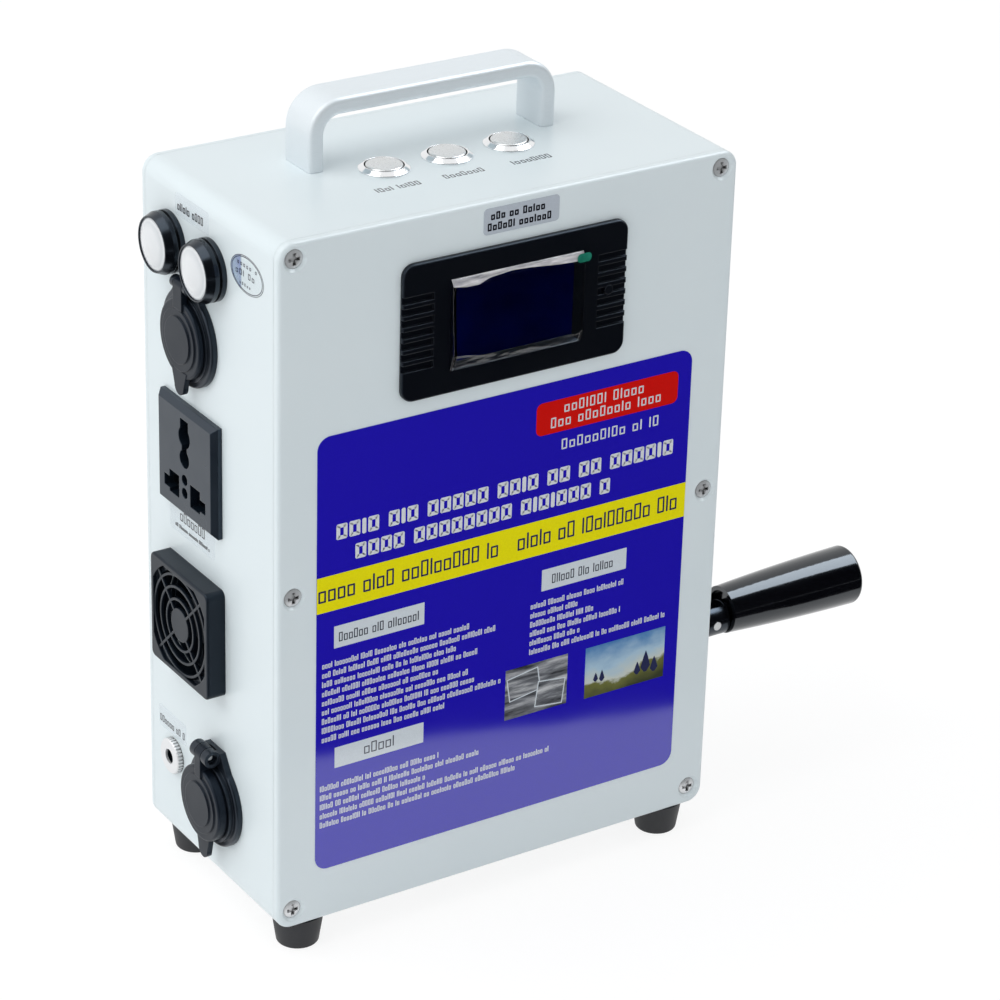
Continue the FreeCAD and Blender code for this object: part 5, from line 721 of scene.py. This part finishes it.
def makeHill():
    x, z = hillPicture["middle"]
    level, thick = labelPrint["level"], labelPrint["thick"]
    view = thinPlate("pictureHill", (x * mm, level, z * mm), metres(hillPicture["size"]),
                     thick, 0, "front")
    settle(view, skyAndHill())
    outline = hillPicture["outline"]
    steps = len(outline) - 1
    trees = []
    for dx, up, tall, wide in hillPicture["trees"]:
        middle, foot = (x + dx) * mm, (z + up) * mm
        tree = startSheet("tree", (middle, level - thick, (z + up + tall / 2) * mm),
                          metres((wide, tall)), "front")
        openAll()
        bpy.ops.mesh.subdivide(number_cuts=steps - 1)
        bpy.ops.object.mode_set(mode="OBJECT")
        for point in tree.data.vertices:
            row = round((point.co.z - foot) / (tall * mm) * steps)
            point.co.x = middle + (point.co.x - middle) * outline[row]
        takeUp(tree)
        openAll()
        pullOut((0, -hillPicture["treeThick"], 0))
        trees.append(closeUp(tree))
    settle(joinUp("pictureTrees", trees), inks["navy"])


makeCards()
makeHill()
print("pictures: 2")


# meter label, window film and pull tab

meterMarks = {"ink": "black", "letters": (2.8, 1.6, 0.6, 0.42), "seed": 31,
              "rows": [(-10.1, 13.9, 252.6), (-11.3, 15.1, 248.8)], "level": -47.2 * mm}
meterFilm = {
    "edges": (-26.2, 26.4, 202.0, 235.3), "level": -49.04 * mm, "thick": 0.07 * mm,
    "rows": 32, "ridgeRow": 5, "foldRow": 26, "margin": 0.12,
    # heights in mm along the window's width, of the lifted strip and of the lower fold
    "ridge": [(0.0, 2.3), (0.1, 3.0), (0.19, 3.0), (0.27, 1.8), (0.45, 1.1), (0.6, 1.5),
              (0.76, 2.3), (0.9, 2.7), (1.0, 2.8)],
    "fold": [(0.0, 7.2), (0.1, 6.6), (0.24, 4.6), (0.5, 3.9), (0.8, 4.4), (1.0, 4.2)],
    "ridgeTilt": 0.62, "foldTilt": 0.38, "sag": 0.35 * mm, "crease": 0.3 * mm,
    "ease": 1.6, "foldWaver": (0.94, 0.12), "waveMiddle": 0.5, "waveShare": 0.1,
    "seed": 61, "waves": 5, "wavesAcross": (90, 260), "wavesUp": (60, 200), "wavesFrom": (0, 6),
}
filmTab = {"edges": (22.7, 28.4, 232.0, 235.2), "level": -51.1 * mm, "thick": 0.06 * mm,
           "corner": 1.4 * mm}


def clearFilm():
    finish = newFinish("clearFilm", (0.97, 0.98, 1.0), 0.04)
    setOn(finish, Transmission_Weight=1.0, IOR=1.4)
    creases = spots(finish, 130, 2.0, 0.5, (0.6, 1, 1.6), (0, 18, 0))
    roughBy(finish, creases, 0.02, 0.07)
    bumpBy(finish, creases, 0.3, 0.25 * mm)
    return finish


def paintedFilmGlare():
    # the cut edge and the lifted strip, painted whitish and partly opaque in streaks as a glare
    # highlight
    finish = newFinish("paintedFilmGlare", (0.74, 0.73, 0.76), 0.22)
    setOn(finish, Coat_Weight=0.6, Coat_Roughness=0.08)
    glareStreaks = spots(finish, 420, 4.0, 0.6, (0.25, 1, 1.6), (0, 12, 0))
    colourBy(finish, glareStreaks, (0.3, (0.5, 0.5, 0.55)), (0.62, (0.86, 0.84, 0.86)))
    feed(finish, reach(finish, glareStreaks, 0.3, 0.68, 0.45, 0.95), "Alpha")
    bumpBy(finish, glareStreaks, 0.3, 0.1 * mm)
    return finish


def tabGreen():
    finish = newFinish("tabGreen", (0.0, 0.22, 0.13), 0.3)
    setOn(finish, Coat_Weight=0.5)
    colourBy(finish, spots(finish, 500), (0.3, (0.0, 0.16, 0.10)), (0.7, (0.01, 0.24, 0.16)))
    return finish


def heightAt(key, t):
    # height of the lifted strip or the lower fold, at a share of the width
    places = meterFilm[key]
    for (a, low), (b, high) in zip(places, places[1:]):
        if t <= b:
            return (low + (high - low) * (t - a) / (b - a)) * mm
    return places[-1][1] * mm


def filmPlace(row, t, wave, whole):
    # how far down from the top edge, and how far out, a point of the film lies
    strip, fold = heightAt("ridge", t), heightAt("fold", t)
    ridgeRow, foldRow, margin = meterFilm["ridgeRow"], meterFilm["foldRow"], meterFilm["margin"]
    inside = min(t, 1 - t, margin) / margin
    if row <= ridgeRow:                # the lifted strip, from the edge to the ridge
        down = strip * row / ridgeRow
        return down, meterFilm["ridgeTilt"] * down
    if row <= foldRow:                 # the pane sags a little in the middle
        u = (row - ridgeRow) / (foldRow - ridgeRow)
        out = meterFilm["ridgeTilt"] * strip * (1 - u) ** meterFilm["ease"]
        out += meterFilm["foldTilt"] * fold * u
        dip = meterFilm["crease"] * wave - meterFilm["sag"] * math.sin(math.pi * u)
        out += dip * inside * min(1 - u, margin) / margin
        return strip + (whole - strip - fold) * u, out
    # below the fold it falls back to the frame
    still = fold * (1 - (row - foldRow) / (meterFilm["rows"] - foldRow))
    base, waver = meterFilm["foldWaver"]
    return whole - still, meterFilm["foldTilt"] * still * (base + waver * wave * inside)


def makeMeterFilm():
    left, right, foot, head = metres(meterFilm["edges"])
    level, rows = meterFilm["level"], meterFilm["rows"]
    pane = startSheet("meterFilm", *spanOf(meterFilm["edges"], level), "front")
    openAll()
    bpy.ops.mesh.subdivide(number_cuts=rows - 1)
    bpy.ops.object.mode_set(mode="OBJECT")
    dice = random.Random(meterFilm["seed"])
    spans = [meterFilm[key] for key in ("wavesAcross", "wavesUp", "wavesFrom")]
    waves = [[dice.uniform(*span) for span in spans] for k in range(meterFilm["waves"])]
    for point in pane.data.vertices:
        t = (point.co.x - left) / (right - left)
        row = round((head - point.co.z) / (head - foot) * rows)
        swing = sum(math.sin(point.co.x * a + point.co.z * b + c) for a, b, c in waves)
        wave = meterFilm["waveMiddle"] + meterFilm["waveShare"] * swing
        down, out = filmPlace(row, t, wave, head - foot)
        point.co.z = head - down
        point.co.y = level - max(out, 0)
    # the lifted strip's faces take the painted glare
    for face in pane.data.polygons:
        strip = heightAt("ridge", (face.center.x - left) / (right - left))
        face.material_index = 1 if head - face.center.z < strip else 0
    wall = pane.modifiers.new("wall", "SOLIDIFY")
    wall.thickness = meterFilm["thick"]
    wall.offset = 1
    # the film's cut edge takes the painted glare too
    wall.material_offset_rim = 1
    pane.data.materials.append(clearFilm())
    pane.data.materials.append(paintedFilmGlare())
    applyAll(pane)
    bpy.ops.object.shade_smooth()
    settle(pane)


def makeFilmTab():
    tab = thinPlate("filmTab", *spanOf(filmTab["edges"], filmTab["level"]), filmTab["thick"],
                    filmTab["corner"], "front")
    settle(tab, tabGreen())


markRows("meterLabelMarks", meterMarks, meterMarks["level"], "front")
makeMeterFilm()
makeFilmTab()
print("meter trim done")


# a near-black mesh disc behind the fan's frame, standing in for the shade inside the case, and the
# frame's lip that lines the hole in the wall

fanShadeDisc = {"at": (-79.2, 10.2, 97.2), "radius": 18.8, "thick": 0.5, "rim": 1.2, "sink": 0.15,
             "points": 64}
fanLip = {"at": (-91.08, 10.2, 97.2), "outer": 19.75, "inner": 19.2, "deep": 1.45, "points": 96}


def makeFanShadeDisc():
    # painted shade: a dark disc that keeps the inside of the case dark as seen through the fan
    mesh = startDisc("fanShadeDisc", metres(fanShadeDisc["at"]), fanShadeDisc["radius"] * mm,
                     fanShadeDisc["points"], "left")
    openAll()
    pullOut((fanShadeDisc["thick"] * mm, 0, 0))
    closeUp(mesh)
    openFaces(mesh, lambda normal: normal.x < -0.9)
    bpy.ops.mesh.inset(thickness=fanShadeDisc["rim"] * mm, depth=-fanShadeDisc["sink"] * mm)
    closeUp(mesh)
    shadeMesh = moulded("fanShadeMesh", (0.003, 0.004, 0.006), 0.8, 2600, depth=0.2 * mm,
                    edge=0.2 * mm, lift=0.004, shine=0.2)
    settle(mesh, shadeMesh)


def makeFanLip():
    lip = startDisc("fanLip", metres(fanLip["at"]), fanLip["outer"] * mm, fanLip["points"], "left")
    openAll()
    cutMiddle((fanLip["outer"] - fanLip["inner"]) * mm)
    pullOut((fanLip["deep"] * mm, 0, 0))
    settle(closeUp(lip), finishes["fan_black"])


makeFanShadeDisc()
makeFanLip()
print("fan filter done")


# clear strips and the oval seal on the left side, marks by the push switches

sideStrips = {
    "level": -91.1 * mm, "lift": 0.02 * mm, "thick": 0.05 * mm, "corner": 1.2 * mm,
    "cover": 0.09,       # how much of the light the clear film stops
    "strips": [(-22.6, 1.0, 246.4, 254.6), (-29.0, 3.5, 126.6, 136.6), (-39.5, -18.9, 41.9, 50.6)],
}
seal = {
    "at": (26.75, 241.8), "size": (11.0, 6.6), "points": 64,
    # share of the size, how far it stands out and the line's width in mm, where 0 fills it
    "lines": {"sealOval": (1.0, 0.05, 0), "sealRim": (1.0, 0.06, 0.2),
              "sealRing": (0.93, 0.07, 0.26)},
}
sideMarks = {
    "sideMarks1": {"ink": "black", "letters": (2.9, 1.5, 0.42, 0.5), "seed": 41,
                   "rows": [(-20.8, -2.7, 248.5)]},
    "sideMarks2": {"ink": "black", "letters": (3.9, 1.9, 0.36, 0.7), "seed": 42,
                   "rows": [(-21.4, -3.3, 131.9)]},
    "sideMarks3": {"ink": "black", "letters": (1.4, 0.7, 0.22, 0.2), "seed": 43,
                   "rows": [(-25.0, 0.4, 128.6)]},
    "sideMarks4": {"ink": "black", "letters": (2.7, 1.3, 0.3, 0.5), "seed": 44,
                   "rows": [(-38.5, -20.1, 43.9)]},
    "sealMarks1": {"ink": "grey", "letters": (1.5, 1.0, 0.24, 1.0), "seed": 45,
                   "rows": [(20.4, 33.6, 244.2)]},
    "sealMarks2": {"ink": "grey", "letters": (2.1, 1.5, 0.3, 1.0), "seed": 46,
                   "rows": [(19.2, 33.8, 240.7)]},
    "sealMarks3": {"ink": "grey", "letters": (1.0, 0.7, 0.2, 0.9), "seed": 47,
                   "rows": [(21.8, 31.0, 237.5)]},
}
switchMarks = {"ink": "faint", "letters": (3.4, 1.7, 0.48, 0.6), "seed": 51, "level": 259.3 * mm,
               "rows": [(-38.7, -20.7, -22.4), (-12.1, 6.5, -22.4), (15.1, 31.3, -22.4)]}


def clearStrip():
    finish = newFinish("stripClear", (0.80, 0.84, 0.90), 0.16)
    setOn(finish, Alpha=sideStrips["cover"], Coat_Weight=0.3)
    ripple = spots(finish, 120)
    roughBy(finish, ripple, 0.1, 0.24)
    bumpBy(finish, ripple, 0.3, 0.1 * mm)
    return finish


def sealTint():
    # a clear oval whose rear part shimmers blue
    finish = newFinish("sealTint", (0.62, 0.70, 0.86), 0.12)
    setOn(finish, Coat_Weight=0.6)
    rear = reach(finish, along(finish, 1), -23.2 * mm, -22.2 * mm, 0.0, 1.0)
    shimmer = reach(finish, spots(finish, 240, 3.0, 0.5, (1, 1, 0.4)), *noiseSpan, 0.55, 1.0)
    tint = sums(finish, rear, shimmer, "MULTIPLY")
    colourBy(finish, tint, (0.0, (0.70, 0.77, 0.80)), (0.5, (0.34, 0.50, 0.66)),
             (1.0, (0.26, 0.32, 0.68)))
    feed(finish, reach(finish, tint, 0, 1, 0.06, 0.34), "Alpha")
    return finish


def makeStrips(under):
    sheer = clearStrip()
    for k, (a, b, foot, head) in enumerate(sideStrips["strips"]):
        middle = (under, -(a + b) / 2 * mm, (foot + head) / 2 * mm)
        strip = thinPlate(f"sideStrip{k + 1}", middle, metres((b - a, head - foot)),
                          sideStrips["thick"], sideStrips["corner"], "left")
        settle(strip, sheer)


def makeSeal(under):
    across, up = metres(seal["at"])
    sealInks = {"sealOval": sealTint(), "sealRim": inks["faint"], "sealRing": inks["grey"]}
    for name, (share, proud, line) in seal["lines"].items():
        stretch = metres(half * share for half in seal["size"])
        oval = startDisc(name, (under, -across, up), 1, seal["points"], "left", stretch)
        openAll()
        if line:
            cutMiddle(line * mm)
        pullOut((-proud * mm, 0, 0))
        settle(closeUp(oval), sealInks[name])


stripUnder = sideStrips["level"] - sideStrips["lift"]
makeStrips(stripUnder)
for name, marks in sideMarks.items():
    markRows(name, marks, stripUnder - sideStrips["thick"], "left")
makeSeal(stripUnder)
markRows("switchMarks", switchMarks, switchMarks["level"], "top")
print("strips and marks done")


# floor, dark surroundings, lights and camera

studioFloor = {
    "size": 6.0, "level": -12.1 * mm, "grey": 0.93,
    "glow": 1.08, "glowShare": 0.8,        # glow and lit floor together come to white
}
surroundings = {       # seen by gloss only
    "screen": {"at": (0.5, -0.81), "size": (2.4, 1.3), "turn": -12.8, "turnAt": (0, -0.165, 0)},
    "wall": {"at": (0.8, -1.4), "size": (6.5, 2.9)},
    "sides": [{"x": (-0.9, -0.11), "y": (-0.9, -0.1)}, {"x": (0.21, 1.6), "y": (-0.9, -0.085)}],
    "lifts": (0.4 * mm, 0.3 * mm, 0.2 * mm),        # screen and sides, over the floor
}
sky = {"colour": (0.96, 0.98, 1.0), "strength": 0.6}
lights = {
    "keyLight": {"at": (-1.5, 0.35, 2.3), "size": 2.6, "power": 36.0},
    "sheenLight": {"at": (1.26, -0.2, 1.65), "size": 1.2, "power": 31.0,        # for gloss alone
                   "tint": (0.86, 0.93, 1.0), "glossOnly": True},
    "fillLight": {"at": (-1.9, -1.3, 0.2), "size": 1.2, "power": 3.4},
}
lightsAim = (0, 0, 0.12)
viewpoint = {"at": (-0.643596, -1.016021, 0.717586), "turn": (63.85033, -1.53056, -32.71376),
             "lens": 135.08, "sensor": 36, "clip": (0.05, 50)}


def seenWhite(owner):
    # 1 for camera, glossy and transmission rays
    path = owner.node_tree.nodes.new("ShaderNodeLightPath")
    seen = sums(owner, path.outputs["Is Camera Ray"], path.outputs["Is Glossy Ray"], "MAXIMUM")
    return sums(owner, seen, path.outputs["Is Transmission Ray"], "MAXIMUM")


def blendWhite(owner, share, plain, white, end):
    tree = owner.node_tree
    mix = tree.nodes.new("ShaderNodeMixShader")
    tree.links.new(share, mix.inputs["Fac"])
    tree.links.new(plain.outputs[0], mix.inputs[1])
    tree.links.new(white.outputs[0], mix.inputs[2])
    tree.links.new(mix.outputs[0], tree.nodes[end].inputs["Surface"])


def layFloor():
    floor = startSheet("studioFloor", (0, 0, studioFloor["level"]), (studioFloor["size"],) * 2, "top")
    finish = newFinish("studioFloor", (studioFloor["grey"],) * 3, 0.9)
    setOn(finish, Specular_IOR_Level=0.0)
    glow = finish.node_tree.nodes.new("ShaderNodeEmission")
    glow.inputs["Strength"].default_value = studioFloor["glow"]
    share = sums(finish, seenWhite(finish), studioFloor["glowShare"], "MULTIPLY")
    shader = finish.node_tree.nodes["Principled BSDF"]
    blendWhite(finish, share, shader, glow, "Material Output")
    floor.data.materials.append(finish)


def darkRoom():
    # dark table and wall in front, as the room that a gloss surface mirrors
    level = studioFloor["level"]
    lift, *sideLifts = surroundings["lifts"]
    look = surroundings["screen"]
    screen = startSheet("darkScreen", (*look["at"], level + lift), look["size"], "top")
    openAll()
    bpy.ops.transform.rotate(value=math.radians(look["turn"]), orient_axis="Z",
                             center_override=look["turnAt"])
    bpy.ops.object.mode_set(mode="OBJECT")
    look = surroundings["wall"]
    wall = startSheet("darkWall", (*look["at"], look["size"][1] / 2), look["size"], "front")
    cards = [screen, wall]
    for k, (look, lift) in enumerate(zip(surroundings["sides"], sideLifts)):
        (left, right), (near, far) = look["x"], look["y"]
        middle = ((left + right) / 2, (near + far) / 2, level + lift)
        cards.append(startSheet(f"darkSide{k + 1}", middle, (right - left, far - near), "top"))
    finish = newFinish("darkScreen", (0.003, 0.0032, 0.004), 0.9)
    setOn(finish, Specular_IOR_Level=0.0)
    for card in cards:
        card.data.materials.append(finish)
        card.visible_camera = False
        card.visible_diffuse = False
        card.visible_shadow = False


def hangLights():
    for name, look in lights.items():
        lamp = bpy.data.lights.new(name, "AREA")
        lamp.shape = "SQUARE"
        lamp.size = look["size"]
        lamp.energy = look["power"]
        lamp.color = look.get("tint", (1, 1, 1))
        holder = bpy.data.objects.new(name, lamp)
        bpy.context.collection.objects.link(holder)
        holder.location = look["at"]
        aim = Vector(lightsAim) - Vector(look["at"])
        holder.rotation_euler = aim.to_track_quat("-Z", "Y").to_euler()
        holder.visible_diffuse = not look.get("glossOnly")


def paintSky():
    world = bpy.data.worlds.new("studioSky")
    bpy.context.scene.world = world
    world.use_nodes = True
    plain = world.node_tree.nodes["Background"]
    plain.inputs["Color"].default_value = (*sky["colour"], 1)
    plain.inputs["Strength"].default_value = sky["strength"]
    white = world.node_tree.nodes.new("ShaderNodeBackground")
    white.inputs["Color"].default_value = (1, 1, 1, 1)
    white.inputs["Strength"].default_value = 1.0
    blendWhite(world, seenWhite(world), plain, white, "World Output")


def placeCamera():
    optics = bpy.data.cameras.new("camera")
    optics.lens = viewpoint["lens"]
    optics.sensor_width = viewpoint["sensor"]
    optics.clip_start, optics.clip_end = viewpoint["clip"]
    camera = bpy.data.objects.new("camera", optics)
    bpy.context.collection.objects.link(camera)
    camera.location = viewpoint["at"]
    camera.rotation_euler = radians(viewpoint["turn"])
    bpy.context.scene.camera = camera


layFloor()
darkRoom()
paintSky()
hangLights()
placeCamera()
bpy.context.scene.view_settings.view_transform = "Standard"
print("studio ready")
